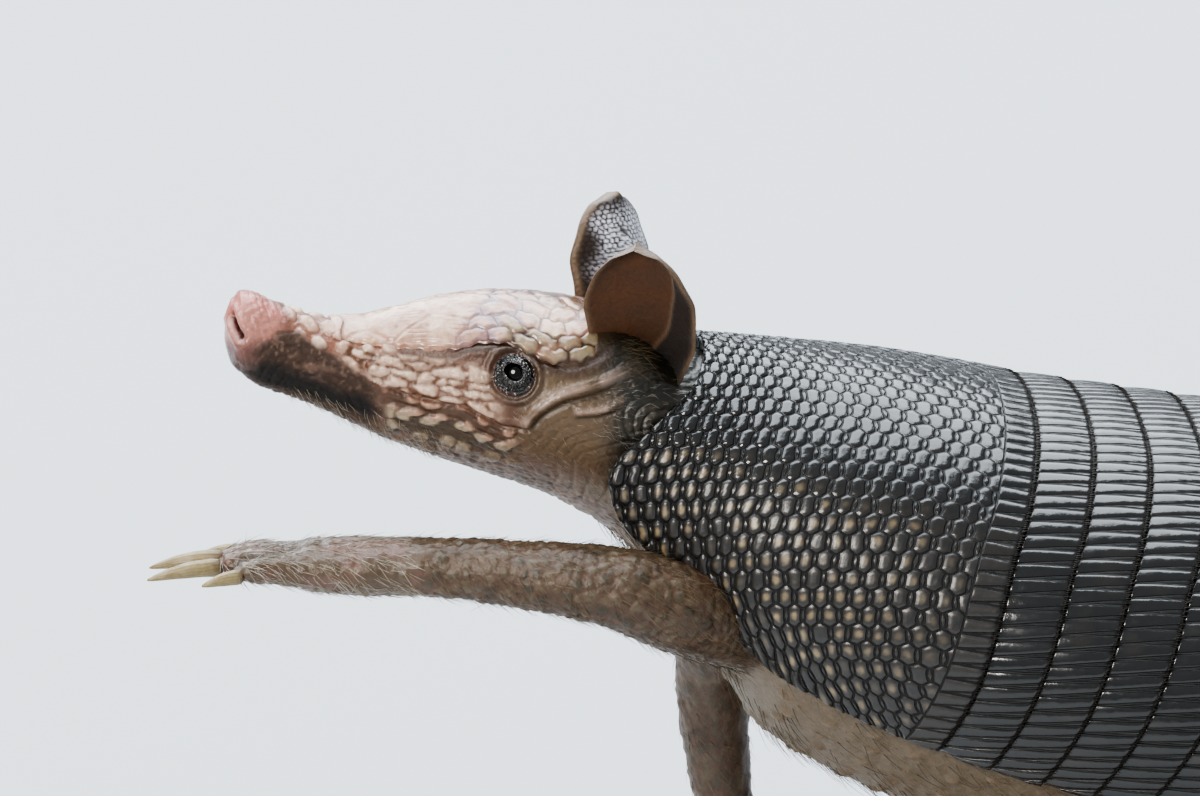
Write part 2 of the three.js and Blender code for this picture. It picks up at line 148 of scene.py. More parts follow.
class Nearest:
    """Of centres shown one after another: how far each point's nearest and second nearest are, and
    the values that the nearest one owns."""

    def __init__(self, count, values=1):
        self.first, self.second = np.full(count, 99.0), np.full(count, 99.0)
        self.own = [np.zeros(count)] * values

    def show(self, distance, *own):
        closer = distance < self.first
        self.second = np.where(closer, self.first, np.minimum(self.second, distance))
        self.own = [np.where(closer, new, old) for new, old in zip(own, self.own)]
        self.first = np.where(closer, distance, self.first)


def scutes(u, v, pitch, row, jitter=0.2, salt=0):
    """Rows of scutes along u. Gives the distance from the nearest centre (1 is one pitch), the
    distance to the border in millimetres, and a value of each scute's own."""
    base = np.floor(v / row)
    near = Nearest(len(u))
    for r in (base - 1, base, base + 1):
        shift = 0.5 * (r % 2) + 0.2 * jitter * chance(r, 3, salt)
        column = np.round(u / pitch - shift)
        for c in (column - 1, column, column + 1):
            cu = (c + shift + (chance(c, r, salt) - 0.5) * jitter) * pitch
            cv = (r + 0.5 + (chance(c, r, salt + 5) - 0.5) * jitter) * row
            near.show(np.hypot((u - cu) / pitch, (v - cv) / row), chance(c, r, salt + 9))
    return near.first, (near.second - near.first) * 0.5 * min(pitch, row), near.own[0]


def trace(x, z):
    """Points along a smooth line through a few places on the side of the head."""
    keys, t = np.linspace(0, 1, len(x)), np.linspace(0, 1, 90)
    return np.stack([curve(keys, x)(t), curve(keys, z)(t)], 1)


def from_line(x, z, line):
    """Distance of each place from a line, positive above it, and its share of the line."""
    step = unit(np.gradient(line, axis=0))
    least = np.full(len(x), 1e9)
    near = np.zeros(len(x), int)
    for i, (line_x, line_z) in enumerate(line):
        far = (x - line_x) ** 2 + (z - line_z) ** 2
        near[far < least] = i
        least = np.minimum(far, least)
    dx, dz = x - line[near, 0], z - line[near, 1]
    tx, tz = step[near, 0], step[near, 1]
    across = dz * tx - dx * tz
    past = (near == 0) | (near == len(line) - 1)
    far = np.hypot(dx, dz) * np.where(across < 0, -1, 1)
    return np.where(past, far, across), near / (len(line) - 1)


def srgb(text):
    """A colour written as six hexadecimal digits, as linear values."""
    v = np.array([int(text[i : i + 2], 16) for i in (0, 2, 4)]) / 255
    return np.where(v <= 0.04045, v / 12.92, ((v + 0.055) / 1.055) ** 2.4)


def mix(a, b, share):
    share = np.asarray(share)[..., None]
    return a * (1 - share) + b * share


# ---------------------------------------------------------------- the body's sections
# Columns: x, top, bottom, half width, height of the widest level.
HEAD_ROWS = [
    [-116, -3.5, -11.5, 4, -8],
    [-114.5, 1.2, -15.5, 8, -8.6],
    [-111, 1.2, -18.5, 9.6, -10],
    [-106, -0.4, -21.4, 10, -12],
    [-100, -1.9, -22.9, 9.8, -13.3],
    [-92, -3.4, -25, 10.3, -14.4],
    [-84, -2.8, -27.8, 11.4, -15],
    [-75, 0.3, -31, 13.4, -15],
    [-65, 3.7, -33.5, 16, -14.5],
    [-57, 5.6, -35.5, 18.4, -14],
    [-50, 6.3, -37, 20.4, -13],
    [-43, 6.6, -38.5, 21.8, -13],
    [-35, 6.4, -40.5, 22.6, -14],
    [-26, 5.2, -44, 23.4, -17],
    [-16, 2.2, -49, 25, -21],
    [-6, -2, -57, 28.5, -28],
    [6, -4, -70, 36, -38],
]
SHELL_ROWS = [
    [-20, -2, -62, 33, -36],
    [0, 0, -76, 42, -42],
    [20, -0.2, -90, 52, -48],
    [42, -0.6, -101, 60, -53],
    [66, -2.4, -109, 66, -57],
    [82, -4.2, -113, 69, -59],
    [120, -6.4, -117, 74, -62],
    [160, -8, -120, 76, -63],
    [200, -8.8, -119, 74.5, -63],
    [235, -12, -113, 68, -62],
    [262, -21, -103, 55, -61],
    [280, -32, -92, 40, -61],
    [292, -41, -84, 27, -62],
]
# Columns: x, side, height, half width, half height.
TAIL_ROWS = [
    [282, 0, -60, 21, 20],
    [330, 1, -68, 18.5, 17.5],
    [400, 5, -63, 13.5, 13],
    [480, 12, -44, 9, 8.6],
    [552, 22, -18, 5.6, 5.4],
    [610, 34, 4, 2.2, 2.2],
]
SHELL_T = 3  # the carapace's thickness
INSET = SHELL_T + 1.4  # the flesh lies this far under the carapace's outer surface
NECK_REAR = 6  # where the head's sections end
BODY_POWER = 2.05  # 2 gives elliptic sections, and more gives fuller ones


def profile(rows):
    columns = np.array(rows, float).T
    parts = [curve(columns[0], c) for c in columns[1:]]
    return lambda x: [part(x) for part in parts]


HEAD, SHELL, TAIL = profile(HEAD_ROWS), profile(SHELL_ROWS), profile(TAIL_ROWS)


def flesh(x):
    """Top, bottom, half width and widest level of the head, neck and trunk under the plates."""
    share = smooth(NECK_REAR - 8, NECK_REAR + 22, x)
    under = [-INSET, 0, -INSET, 0]
    return [a + (b + c - a) * share for a, b, c in zip(HEAD(x), SHELL(x), under)]


def bend(v):
    return np.sign(v) * np.abs(v) ** (2 / BODY_POWER)


def section(at, x, angle, lift=0):
    """Points of a section at angles from its top, counted towards the right side."""
    top, bottom, half, mid = at(x)
    up = bend(np.cos(angle))
    reach = np.where(up > 0, top - mid, mid - bottom)
    return np.stack([x + 0 * angle, (half + lift) * bend(np.sin(angle)), mid + (reach + lift) * up], -1)


# ---------------------------------------------------------------- meshes and materials
def normals_of(mesh):
    found = np.empty(len(mesh.vertices) * 3, np.float32)
    mesh.vertex_normals.foreach_get("vector", found)
    return found.reshape(-1, 3).astype(float)


def points_of(mesh):
    found = np.empty(len(mesh.vertices) * 3, np.float32)
    mesh.vertices.foreach_get("co", found)
    return found.reshape(-1, 3).astype(float)


def put_points(mesh, points):
    mesh.vertices.foreach_set("co", np.asarray(points, np.float32).ravel())
    mesh.update()


def shade_smooth(mesh):
    mesh.polygons.foreach_set("use_smooth", np.ones(len(mesh.polygons), bool))


def mesh_from(name, points, faces, uv=None):
    """A mesh from body-frame points and an array of triangles or quads, with a map for its colours."""
    mesh = bpy.data.meshes.new(name)
    faces = np.asarray(faces, np.int32)
    size = faces.shape[1]
    mesh.vertices.add(len(points))
    mesh.loops.add(faces.size)
    mesh.polygons.add(len(faces))
    mesh.vertices.foreach_set("co", np.asarray(to_part(points), np.float32).ravel())
    mesh.loops.foreach_set("vertex_index", faces.ravel())
    mesh.polygons.foreach_set("loop_start", np.arange(len(faces), dtype=np.int32) * size)
    shade_smooth(mesh)
    mesh.update(calc_edges=True)
    if uv is not None:
        mesh.uv_layers.new(name="OFBake").data.foreach_set("uv", np.asarray(uv, np.float32).ravel())
    return mesh


def paint(mesh, colour, gloss):
    """Keeps each point's colour and roughness on the mesh."""
    rgba = np.ones((len(mesh.vertices), 4), np.float32)
    rgba[:, :3] = np.clip(colour, 0, 1)
    mesh.attributes.new("tint", "FLOAT_COLOR", "POINT").data.foreach_set("color", rgba.ravel())
    rough = np.full(len(mesh.vertices), gloss, np.float32)
    mesh.attributes.new("rough", "FLOAT", "POINT").data.foreach_set("value", rough)


def piece(name, mesh, material, slot, *nodes):
    obj = bpy.data.objects.new(name, mesh)
    bpy.context.scene.collection.objects.link(obj)
    mesh.materials.clear()
    mesh.materials.append(material)
    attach(obj, "root")
    if nodes:
        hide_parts(*nodes)
    return obj


def grid_faces(rows, columns, closed=False, first=0):
    """Quads of a grid of points numbered row by row; `closed` joins the last column to the first."""
    r = np.arange(rows - 1)[:, None]
    c = np.arange(columns if closed else columns - 1)[None, :]
    n = (c + 1) % columns
    quads = [r * columns + c, r * columns + n, (r + 1) * columns + n, (r + 1) * columns + c]
    return np.stack(quads, -1).reshape(-1, 4) + first


def grid_uv(rows, columns, closed=False):
    """Each grid face's corners on an even unwrap of the grid."""
    r = np.arange(rows - 1)[:, None]
    c = np.arange(columns if closed else columns - 1)[None, :]
    corners = [(c, r), (c + 1, r), (c + 1, r + 1), (c, r + 1)]
    flat = [np.stack(np.broadcast_arrays(a / columns, b / rows), -1) for a, b in corners]
    return 0.01 + 0.98 * np.stack(flat, 2).reshape(-1, 2)


def face_out(mesh, outward):
    """Turns a mesh inside out if it looks against the given body-frame directions."""
    if np.sum(normals_of(mesh) * (outward.reshape(-1, 3) @ TURN.T)) < 0:
        mesh.flip_normals()


def grid_mesh(name, points, s, pick, outward, closed=False):
    """A painted mesh of a grid of points. `pick` says which of the surface's points each grid point
    takes its colour from."""
    rows, columns = points.shape[:2]
    uv = grid_uv(rows, columns, closed)
    made = mesh_from(name, points.reshape(-1, 3), grid_faces(rows, columns, closed), uv)
    paint(made, s.colour[pick], s.gloss[pick])
    face_out(made, outward)
    return made


TILE = 3.8  # across the long scutes of the bands and of the shields' rear margins
ROSETTE_PITCH, ROSETTE_ROW = 5.3, 4.5
# A groove's flat floor and its edge, in millimetres from its middle line, and its depth.
GROOVE_FLOOR, GROOVE_EDGE, GROOVE_DEPTH = 0.06, 0.36, 0.28
LITTLE = 1.15  # how far, in millimetres, the little scutes give way to the large ones beside them
# Where a pair of rows has its scutes: along the row in pitches, which row, and how far they give way.
ROSETTE_CENTRES = [(0, 0, 0), (0.5, 1, 0), (0.5, 0, LITTLE), (0, 1, LITTLE)]


class Nodes:
    """A new material, whose nodes are made with their inputs filled by values or by other outputs."""

    def __init__(self, name):
        self.material = bpy.data.materials.new(name)
        self.material.use_nodes = True
        self.tree = self.material.node_tree
        self.shader = self.tree.nodes["Principled BSDF"]

    def fill(self, node, inputs):
        for name, value in inputs.items():
            if isinstance(value, bpy.types.NodeSocket):
                self.tree.links.new(value, node.inputs[name])
            else:
                node.inputs[name].default_value = value
        return node

    def add(self, kind, inputs, **settings):
        """The outputs of a new node."""
        node = self.tree.nodes.new(f"ShaderNode{kind}")
        for name, value in settings.items():
            setattr(node, name, value)
        return self.fill(node, inputs).outputs

    def math(self, operation, *values):
        return self.add("Math", dict(enumerate(values)), operation=operation)[0]

    def parts(self, attribute):
        vector = self.add("Attribute", {}, attribute_name=attribute)["Vector"]
        return self.add("SeparateXYZ", {"Vector": vector})


def groove_nodes(made):
    """How deep in a groove between scutes each place is, from 0 to 1: the rosettes' borders, and the
    two lines that run together between long scutes."""
    do = made.math
    u, v, margin = made.parts("rosette")
    found = []
    for shift, row, less in ROSETTE_CENTRES:
        du = do("SUBTRACT", u, shift)
        du = do("MULTIPLY", do("SUBTRACT", du, do("ROUND", du)), ROSETTE_PITCH)
        dv = do("MULTIPLY", do("SUBTRACT", v, row), 0.5)
        dv = do("MULTIPLY", do("SUBTRACT", dv, do("ROUND", dv)), 2 * ROSETTE_ROW)
        far = do("SQRT", do("ADD", do("MULTIPLY", du, du), do("MULTIPLY", dv, dv)))
        found.append(do("ADD", far, less))
    pairs = found[:2], found[2:]
    low, high = ([do(kind, *pair) for pair in pairs] for kind in ("MINIMUM", "MAXIMUM"))
    second = do("MINIMUM", do("MAXIMUM", *low), do("MINIMUM", *high))
    rosette = do("MULTIPLY", do("SUBTRACT", second, do("MINIMUM", *low)), 0.5)
    along, narrow, past = made.parts("strip")
    from_middle = do("ABSOLUTE", do("SUBTRACT", do("FRACT", along), 0.5))
    from_line = do("ABSOLUTE", do("SUBTRACT", from_middle, do("SUBTRACT", 0.5, narrow)))
    strip = do("MULTIPLY", from_line, TILE)
    rim = do("ADD", do("MULTIPLY", rosette, do("SUBTRACT", 1, margin)), do("MULTIPLY", strip, margin))
    rim = do("MINIMUM", rim, do("ABSOLUTE", past))
    fade = {"Value": rim, "From Min": GROOVE_FLOOR, "From Max": GROOVE_EDGE, "To Min": 1, "To Max": 0}
    return made.add("MapRange", fade, interpolation_type="SMOOTHSTEP")["Result"]


def painted_material(name, grain, grain_size, specular, coat=0.0, sheen=0.0, under=0.0, grooved=False):
    """A material that reads each point's colour and roughness, with a fine procedural grain. With
    `grooved` it also has the fine grooves between scutes."""
    made = Nodes(name)
    tint = made.add("Attribute", {}, attribute_name="tint")["Color"]
    rough = made.add("Attribute", {}, attribute_name="rough")["Fac"]
    place = made.add("TexCoord", {})["Object"]
    grainy = {"Vector": place, "Scale": 1 / grain_size, "Detail": 5, "Roughness": 0.62}
    noise = made.add("TexNoise", grainy)["Fac"]
    uneven = {"Value": noise, "From Min": 0.3, "From Max": 0.7, "To Min": 0.82, "To Max": 1.18}
    shade = made.add("MapRange", uneven)["Result"]
    normal = made.add("Bump", {"Height": noise, "Strength": 1, "Distance": grain})["Normal"]
    if grooved:
        groove = groove_nodes(made)
        darker = made.math("SUBTRACT", 1, made.math("MULTIPLY", groove, 0.85))
        shade = made.math("MULTIPLY", shade, darker)
        rough = made.math("ADD", rough, made.math("MULTIPLY", groove, 0.5))
        cut = {"Height": groove, "Normal": normal, "Strength": 1, "Distance": GROOVE_DEPTH * MM}
        normal = made.add("Bump", cut, invert=True)["Normal"]
    look = {
        "Base Color": made.add("VectorMath", {0: tint, "Scale": shade}, operation="SCALE")["Vector"],
        "Roughness": rough,
        "Normal": normal,
        "Specular IOR Level": specular,
        "Coat Weight": coat,
        "Coat Roughness": 0.12,
        "Sheen Weight": sheen,
        "Subsurface Weight": under,
        "Subsurface Scale": 0.002,
    }
    made.fill(made.shader, look)
    return made.material


SKIN_LOOK = painted_material("skin", 0.00026, 0.0013, specular=0.7, under=0.12)
LID_LOOK = painted_material("eyelids", 0.0002, 0.0007, specular=0.8, coat=1.0)
HEAD_PLATE_LOOK = painted_material("head_plate", 0.00016, 0.0014, specular=0.6, coat=0.5, under=0.1)
SHELL_LOOK = painted_material("carapace", 0.00006, 0.0012, specular=1.0, grooved=True)
TAIL_LOOK = painted_material("tail", 0.00006, 0.0012, specular=1.0)
EAR_LOOK = painted_material("ear", 0.00022, 0.0009, specular=0.4, sheen=0.15)
CLAW_LOOK = painted_material("claw", 0.00008, 0.0012, specular=0.5, under=0.15)
HAIR_LOOK = painted_material("hair", 0.00001, 0.0012, specular=0.5)


# ---------------------------------------------------------------- camera, floor and light
CAMERA_UP, CAMERA_ROUND, CAMERA_ROLL = (math.radians(v) for v in (20, -5, 10))
CAMERA_FAR, FLOOR = 3.2, 60  # metres
LENS, SENSOR = 400, 36
AIM = (-27.2 * MM, -9.1 * MM)  # from the nape to the middle of the picture, level and upright


def camera():
    back = Vector(
        (
            math.sin(CAMERA_ROUND) * math.cos(CAMERA_UP),
            -math.cos(CAMERA_ROUND) * math.cos(CAMERA_UP),
            math.sin(CAMERA_UP),
        )
    )
    level = Vector((math.cos(CAMERA_ROUND), math.sin(CAMERA_ROUND), 0))
    upright = level.cross(-back)
    target = Vector(NAPE * MM) + level * AIM[0] + upright * AIM[1]
    c, s = math.cos(CAMERA_ROLL), math.sin(CAMERA_ROLL)
    made = bpy.data.objects.new("camera", bpy.data.cameras.new("camera"))
    made.data.lens, made.data.sensor_width = LENS, SENSOR
    made.data.clip_start, made.data.clip_end = 0.1, 60
    axes = Matrix((level * c - upright * s, level * s + upright * c, back)).transposed()
    made.matrix_world = Matrix.Translation(target + back * CAMERA_FAR) @ axes.to_4x4()
    bpy.context.scene.collection.objects.link(made)
    bpy.context.scene.camera = made


def floor():
    mesh = bpy.data.meshes.new("floor")
    corners = (-FLOOR, -FLOOR, 0), (FLOOR, -FLOOR, 0), (FLOOR, FLOOR, 0), (-FLOOR, FLOOR, 0)
    mesh.from_pydata(corners, [], [(0, 1, 2, 3)])
    made = bpy.data.objects.new("floor", mesh)
    bpy.context.scene.collection.objects.link(made)
    look = Nodes("floor")
    look.fill(look.shader, {"Base Color": (0.50, 0.51, 0.52, 1), "Roughness": 0.9})
    mesh.materials.append(look.material)


def area_light(name, place, aim, size, power, colour):
    data = bpy.data.lights.new(name, "AREA")
    data.shape = "DISK"
    data.size, data.energy, data.color = size, power, colour
    made = bpy.data.objects.new(name, data)
    made.location = place
    made.rotation_euler = (Vector(aim) - Vector(place)).to_track_quat("-Z", "Y").to_euler()
    bpy.context.scene.collection.objects.link(made)


def lights():
    world = bpy.data.worlds.new("world")
    bpy.context.scene.world = world
    world.use_nodes = True
    background = world.node_tree.nodes["Background"]
    background.inputs["Color"].default_value = (0.76, 0.81, 0.88, 1)
    background.inputs["Strength"].default_value = 0.62
    area_light("sky", (-0.1, 1.1, 2.05), (0, 0, 0.2), 3.7, 145, (0.88, 0.94, 1.0))
    area_light("window", (-0.9, -1.3, 1.3), (-0.1, 0, 0.25), 0.7, 21, (1.0, 0.95, 0.89))


camera()
floor()
lights()
bpy.context.scene.view_settings.look = "AgX - High Contrast"


# ---------------------------------------------------------------- skin
SIDES = ("left", -1), ("right", 1)  # the names of the sides and the sign of y on them
LIMB_PARTS = "foreleg", "forefoot", "hindleg", "hindfoot"
LIMBS = [f"{limb}_{side}" for limb in LIMB_PARTS for side, _ in SIDES]
FEET = [name for name in LIMBS if "foot" in name]
CLAWS = [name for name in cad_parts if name.startswith("claw_")]
VOXEL = 1.5  # the size of the joined skin's squares
TOE_LONG = 15  # how far the toes show, from their claws' roots back over the foot
LIMB_GROWTH = 0.5  # closes the gaps between the limbs' solids and the trunk's
FACE_REAR, FACE_LOW = -14, -38  # the finest part of the skin


def capped(rings):
    """Points and faces of a closed solid through rings of points."""
    count, sides = len(rings), len(rings[0])
    last = sides * (count - 1)
    faces = grid_faces(count, sides, closed=True).tolist()
    faces += [list(range(sides))[::-1], list(range(last, last + sides))]
    return np.concatenate(rings), faces


def flesh_loft():
    """The head, neck and trunk as one closed solid."""
    stations = np.concatenate([[-116, -115.5, -114.3, -112.5], np.arange(-110, 288, 2.5), [288]])
    return capped(section(flesh, stations[:, None], turns(72)[None, :]))


def welded(mesh):
    """A working copy of a mesh, with the points that lie on each other joined."""
    made = bmesh.new()
    made.from_mesh(mesh)
    bmesh.ops.remove_doubles(made, verts=made.verts, dist=WELD)
    return made


def limb_solid(name):
    """A limb's solid from the frame, grown a little, in the body frame."""
    made = welded(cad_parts[name].data)
    made.normal_update()
    points = [v.co + v.normal * LIMB_GROWTH * MM for v in made.verts]
    faces = [[v.index for v in f.verts] for f in made.faces]
    made.free()
    return to_body(points), faces


def long_axis(p):
    """The middle of some points, the direction in which they reach furthest, and each one's place
    along it."""
    centre = p.mean(axis=0)
    axis = np.linalg.svd(p - centre, full_matrices=False)[2][0]
    return centre, axis, (p - centre) @ axis


def claw_line(name):
    """A claw's root and tip in the body frame, and its radius at the root."""
    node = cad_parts[name]
    p = to_body(np.array([node.matrix_world @ v.co for v in node.data.vertices]))
    _, _, along = long_axis(p)
    ends = [p[along < np.percentile(along, 18)], p[along > np.percentile(along, 82)]]
    wide = [np.linalg.norm(end - end.mean(axis=0), axis=1).mean() for end in ends]
    root, tip = (end.mean(axis=0) for end in (ends if wide[0] > wide[1] else ends[::-1]))
    return root, tip, max(wide)


def toe_solid(name):
    """A tapering toe from inside the foot to a little way over its claw."""
    root, tip, radius = claw_line(name)
    way = unit(tip - root)
    across = unit(np.cross(way, (0.3, 0.5, 0.8)))
    upward = np.cross(way, across)
    turn = turns(16)[:, None]
    rings = []
    for along, wide in ((-9, 0.5), (-7, 1.1), (-3, 1.25), (0.5, 1.2), (2.4, 1.05)):
        ring = (radius * wide + 0.5) * (np.cos(turn) * across + np.sin(turn) * upward)
        rings.append(root + way * along + ring)
    return capped(rings)


def modified(mesh, kind, **settings):
    """A mesh as a modifier leaves it."""
    obj = bpy.data.objects.new(mesh.name, mesh)
    bpy.context.scene.collection.objects.link(obj)
    modifier = obj.modifiers.new(kind, kind)
    for name, value in settings.items():
        setattr(modifier, name, value)
    found = bpy.data.meshes.new_from_object(obj.evaluated_get(bpy.context.evaluated_depsgraph_get()))
    bpy.data.objects.remove(obj)
    return found


def remeshed(parts):
    """Closed solids joined into one surface of small squares."""
    points, faces = [], []
    for some_points, some_faces in parts:
        first = sum(len(p) for p in points)
        points.append(some_points)
        faces += [[first + i for i in f] for f in some_faces]
    mesh = bpy.data.meshes.new("flesh")
    mesh.from_pydata(to_part(np.concatenate(points)).tolist(), [], faces)
    return modified(mesh, "REMESH", mode="VOXEL", voxel_size=VOXEL * MM)


def relaxed(mesh, rounds):
    """A mesh's points in the body frame, moved in each round halfway to their neighbours' middle."""
    points = to_body(points_of(mesh))
    ends = np.empty(len(mesh.edges) * 2, np.int32)
    mesh.edges.foreach_get("vertices", ends)
    a, b = ends.reshape(-1, 2).T
    count = np.maximum(np.bincount(ends, minlength=len(points)), 1)[:, None]
    for _ in range(rounds):
        sums = [
            np.bincount(a, points[b, k], len(points)) + np.bincount(b, points[a, k], len(points))
            for k in range(3)
        ]
        points = points + 0.5 * (np.stack(sums, 1) / count - points)
    return points


def out_of_flesh(p):
    """Angle from the top, share of the way out from the middle, and distance outside the loft."""
    top, bottom, half, mid = flesh(p[:, 0])
    up = p[:, 2] - mid
    reach = np.where(up > 0, top - mid, mid - bottom)
    share = np.abs(p[:, 1] / half) ** BODY_POWER + np.abs(up / reach) ** BODY_POWER
    share = np.maximum(share ** (1 / BODY_POWER), 1e-3)
    outside = np.hypot(p[:, 1], up) * (1 - 1 / share)
    return np.arctan2(np.abs(p[:, 1]) / half, up / reach), share, outside


def onto_flesh(p):
    """Points of the head's surface brought exactly onto the loft, fading out behind the eyes."""
    _, share, outside = out_of_flesh(p)
    _, _, _, mid = flesh(p[:, 0])
    pull = (1 - smooth(0.9, 2.2, np.abs(outside))) * smooth(-114.6, -113, p[:, 0])
    pull *= 1 - smooth(-18, -8, p[:, 0])
    scale = 1 + pull * (1 / share - 1)
    return np.stack([p[:, 0], p[:, 1] * scale, mid + (p[:, 2] - mid) * scale], 1)


def refined(mesh, wanted):
    """Cuts every edge in two where both of its ends are wanted."""
    made = bmesh.new()
    made.from_mesh(mesh)
    cut = [e for e in made.edges if wanted[e.verts[0].index] and wanted[e.verts[1].index]]
    bmesh.ops.subdivide_edges(made, edges=cut, cuts=1, use_grid_fill=True)
    made.to_mesh(mesh)
    made.free()


def inside_box(p, name, margin):
    """1 within a node's box and 0 beyond a margin round it."""
    low, high = (np.array(corner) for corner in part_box(name))
    part = to_part(p)
    outside = np.maximum(np.maximum(low - part, part - high), 0)
    return 1 - smooth(0, margin * MM, np.linalg.norm(outside, axis=1))


def plain_skin():
    """The flesh as one smooth surface, finest on the head."""
    toes = [toe_solid(name) for name in CLAWS]
    mesh = remeshed([flesh_loft()] + [limb_solid(name) for name in LIMBS] + toes)
    p = onto_flesh(relaxed(mesh, 14))
    put_points(mesh, to_part(p))
    _, _, outside = out_of_flesh(p)
    shown = np.max([inside_box(p, name, 8) for name in FEET + ["foreleg_left"]], axis=0) > 0.5
    refined(mesh, (p[:, 0] < 4) & (outside < 2) | (outside > 1) & shown)
    p = relaxed(mesh, 3)
    put_points(mesh, to_part(p))
    _, _, outside = out_of_flesh(p)
    refined(mesh, (p[:, 0] < FACE_REAR) & (outside < 2) & (p[:, 2] > FACE_LOW))
    put_points(mesh, to_part(onto_flesh(relaxed(mesh, 3))))
    shade_smooth(mesh)
    return mesh


def wrinkled(w, spacing, p, salt):
    """0 between wrinkles and 1 in their depth, along a coordinate w that crosses them."""
    phase = w / spacing + 0.45 * cloud(p, 9, salt) + 0.12 * cloud(p, 2.5, salt + 1)
    return smooth(0.55, 1, np.abs(2 * (phase - np.floor(phase)) - 1))


def pebbles(p, size, salt):
    """Rounded scales of about the given size anywhere on the body: border distance and own value."""
    q = p / size
    base = np.floor(q)
    near = Nearest(len(p))
    for step in np.ndindex(3, 3, 3):
        cell = (base + step - 1).T
        key = cell[0] + 57 * cell[2]
        centre = [a + 0.5 + 0.8 * (chance(key, cell[1], salt + k) - 0.5) for k, a in enumerate(cell)]
        d = np.sqrt(sum((q[:, k] - centre[k]) ** 2 for k in range(3)))
        near.show(d, chance(key, cell[1], salt + 9))
    return (near.second - near.first) * size * 0.5, near.own[0]


PINK, PINK_DEEP, NOSTRIL_RED = srgb("ae7a6d"), srgb("6b453b"), srgb("3a1510")
NOSE_TIP = srgb("b86a60")
PATCH, PATCH_PALE, PATCH_SPECK = srgb("120c07"), srgb("432f21"), srgb("8f7263")
CREAM, CREAM_SEAM, CREAM_WARM = srgb("cdb39f"), srgb("8a5f4d"), srgb("b6917b")
CHEEK_SCUTE, CHEEK_SEAM = srgb("c9ab94"), srgb("60402d")
BEAD, UNDER_BEAD = srgb("a8967c"), srgb("4d4030")
# The first of these is a dark brown for seams, and for painted shade in creases and round the eyes.
BROW_BROWN_AND_PAINTED_SHADE, LID, LID_BEAD, FOLD = srgb("402c1e"), srgb("14120e"), srgb("3a352b"), srgb("a58e80")
AMBER, NECK, NECK_PALE = srgb("69553e"), srgb("2b2820"), srgb("564d3d")
THROAT, CHEST = srgb("574636"), srgb("6d5d48")
ARM, FOOT, FOOT_PINK, BELLY = srgb("453c2b"), srgb("5f4f3f"), srgb("70554a"), srgb("675945")

# The head shield's ends, and its limits in degrees from the midline.
HEAD_SHIELD_X = (-91, -28)
BROW_ANGLE = curve([-92, -66, -53, -40, -29], [40, 57, 50, 60, 50])

# Lines on the side of the head, by their points' x and z.
MOUTH_LINE = trace(
    [-113, -110.5, -107, -101.5, -94.5, -87, -76],
    [-17.2, -18.2, -19.2, -20.2, -21.8, -24.4, -29],
)
PATCH_LINE = trace(
    [-112, -110.5, -106.5, -100.5, -93.5, -87, -81.5, -77.5, -75, -74],
    [-16, -10.5, -6.4, -5, -8, -10.5, -13.5, -18.5, -26, -34],
)
CORE_LINE = trace(
    [-111.5, -109, -104.5, -98, -89, -80.5, -77],
    [-16, -12.5, -11.5, -14.5, -16.5, -18.5, -32],
)
BROW_LINE = trace([-78, -67, -59.5, -51.5, -42, -36, -24], [-6.5, -6, -2, -0.5, -3, -3.5, 0.5])
CHEEK_LINE = trace([-77, -68, -60, -49, -43.5], [-15, -16.5, -16.5, -20, -20])
FOLD_LINE = trace([-45.5, -42.5, -37, -28, -17], [-20, -14.5, -10, -6.5, -2.5])
FOLD_LINE_2 = trace([-34, -27, -20.5], [-14, -12.5, -9])
NOSTRIL = (np.array([-115.9, 2.9, -3.9]), np.array([-113.5, 8.4, -7.3]))
EAR_ROOT = (np.array([-20, 15, -3]), np.array([-23.5, 19, 10]))


def from_segment(p, ends):
    """Distance of points from a straight line between two places, on either side of the body."""
    q = p * (1, 0, 1) + np.abs(p * (0, 1, 0))
    start, way = ends[0], ends[1] - ends[0]
    share = np.clip((q - start) @ way / (way @ way), 0, 1)
    return np.linalg.norm(q - start - share[:, None] * way, axis=1)


class Surface:
    """The height, colour and roughness that the fields build up on a set of points."""

    def __init__(self, p, colour, gloss):
        self.p = p
        self.height = np.zeros(len(p))
        self.colour = np.tile(colour, (len(p), 1))
        self.gloss = np.full(len(p), float(gloss))
        self.rosette = np.tile([0.0, 0.0, 1.0], (len(p), 1))
        self.strip = None

    def tone(self, colour, share):
        self.colour = mix(self.colour, colour, np.clip(share, 0, 1))

    def wet(self, gloss, share):
        self.gloss = self.gloss + (gloss - self.gloss) * np.clip(share, 0, 1)

    def raised(self, much, share=1):
        self.height = self.height + much * share


def paint_nose(s):
    x, y, z = s.p.T
    front = 1 - smooth(-105, -99, x + 0.3 * (z + 8) + 1.2 * cloud(s.p, 3, 4))
    s.tone(PINK, front)
    s.tone(NOSE_TIP, 0.6 * front * smooth(-9, -1, z) * smooth(0.6, -0.3, cloud(s.p, 4, 6)))
    shade = smooth(-6, -12.5, z + 1.5 * cloud(s.p, 4, 7) - 0.35 * (x + 112))
    s.tone(PINK_DEEP, 0.95 * front * shade)
    s.tone(PATCH_PALE, 0.8 * front * smooth(-12, -16, z + 1.5 * cloud(s.p, 4, 7)))
    s.wet(0.13, front * (1 - 0.6 * shade))
    creased = 0.22 * cloud(s.p, 1.6, 3) - 0.14 * wrinkled(x + 0.4 * z, 1.5, s.p, 5)
    s.raised(creased, front * smooth(-115, -111, x))
    gap = from_segment(s.p, NOSTRIL)
    s.raised(-2.4 * hump(gap, 0.85) + 0.55 * hump(gap - 2.3, 1.0))
    s.tone(NOSTRIL_RED, 1 - smooth(0.5, 1.5, gap))
    s.raised(-0.7 * hump(y, 0.5), (1 - smooth(-114.5, -111, x)) * smooth(-12, -15, z))


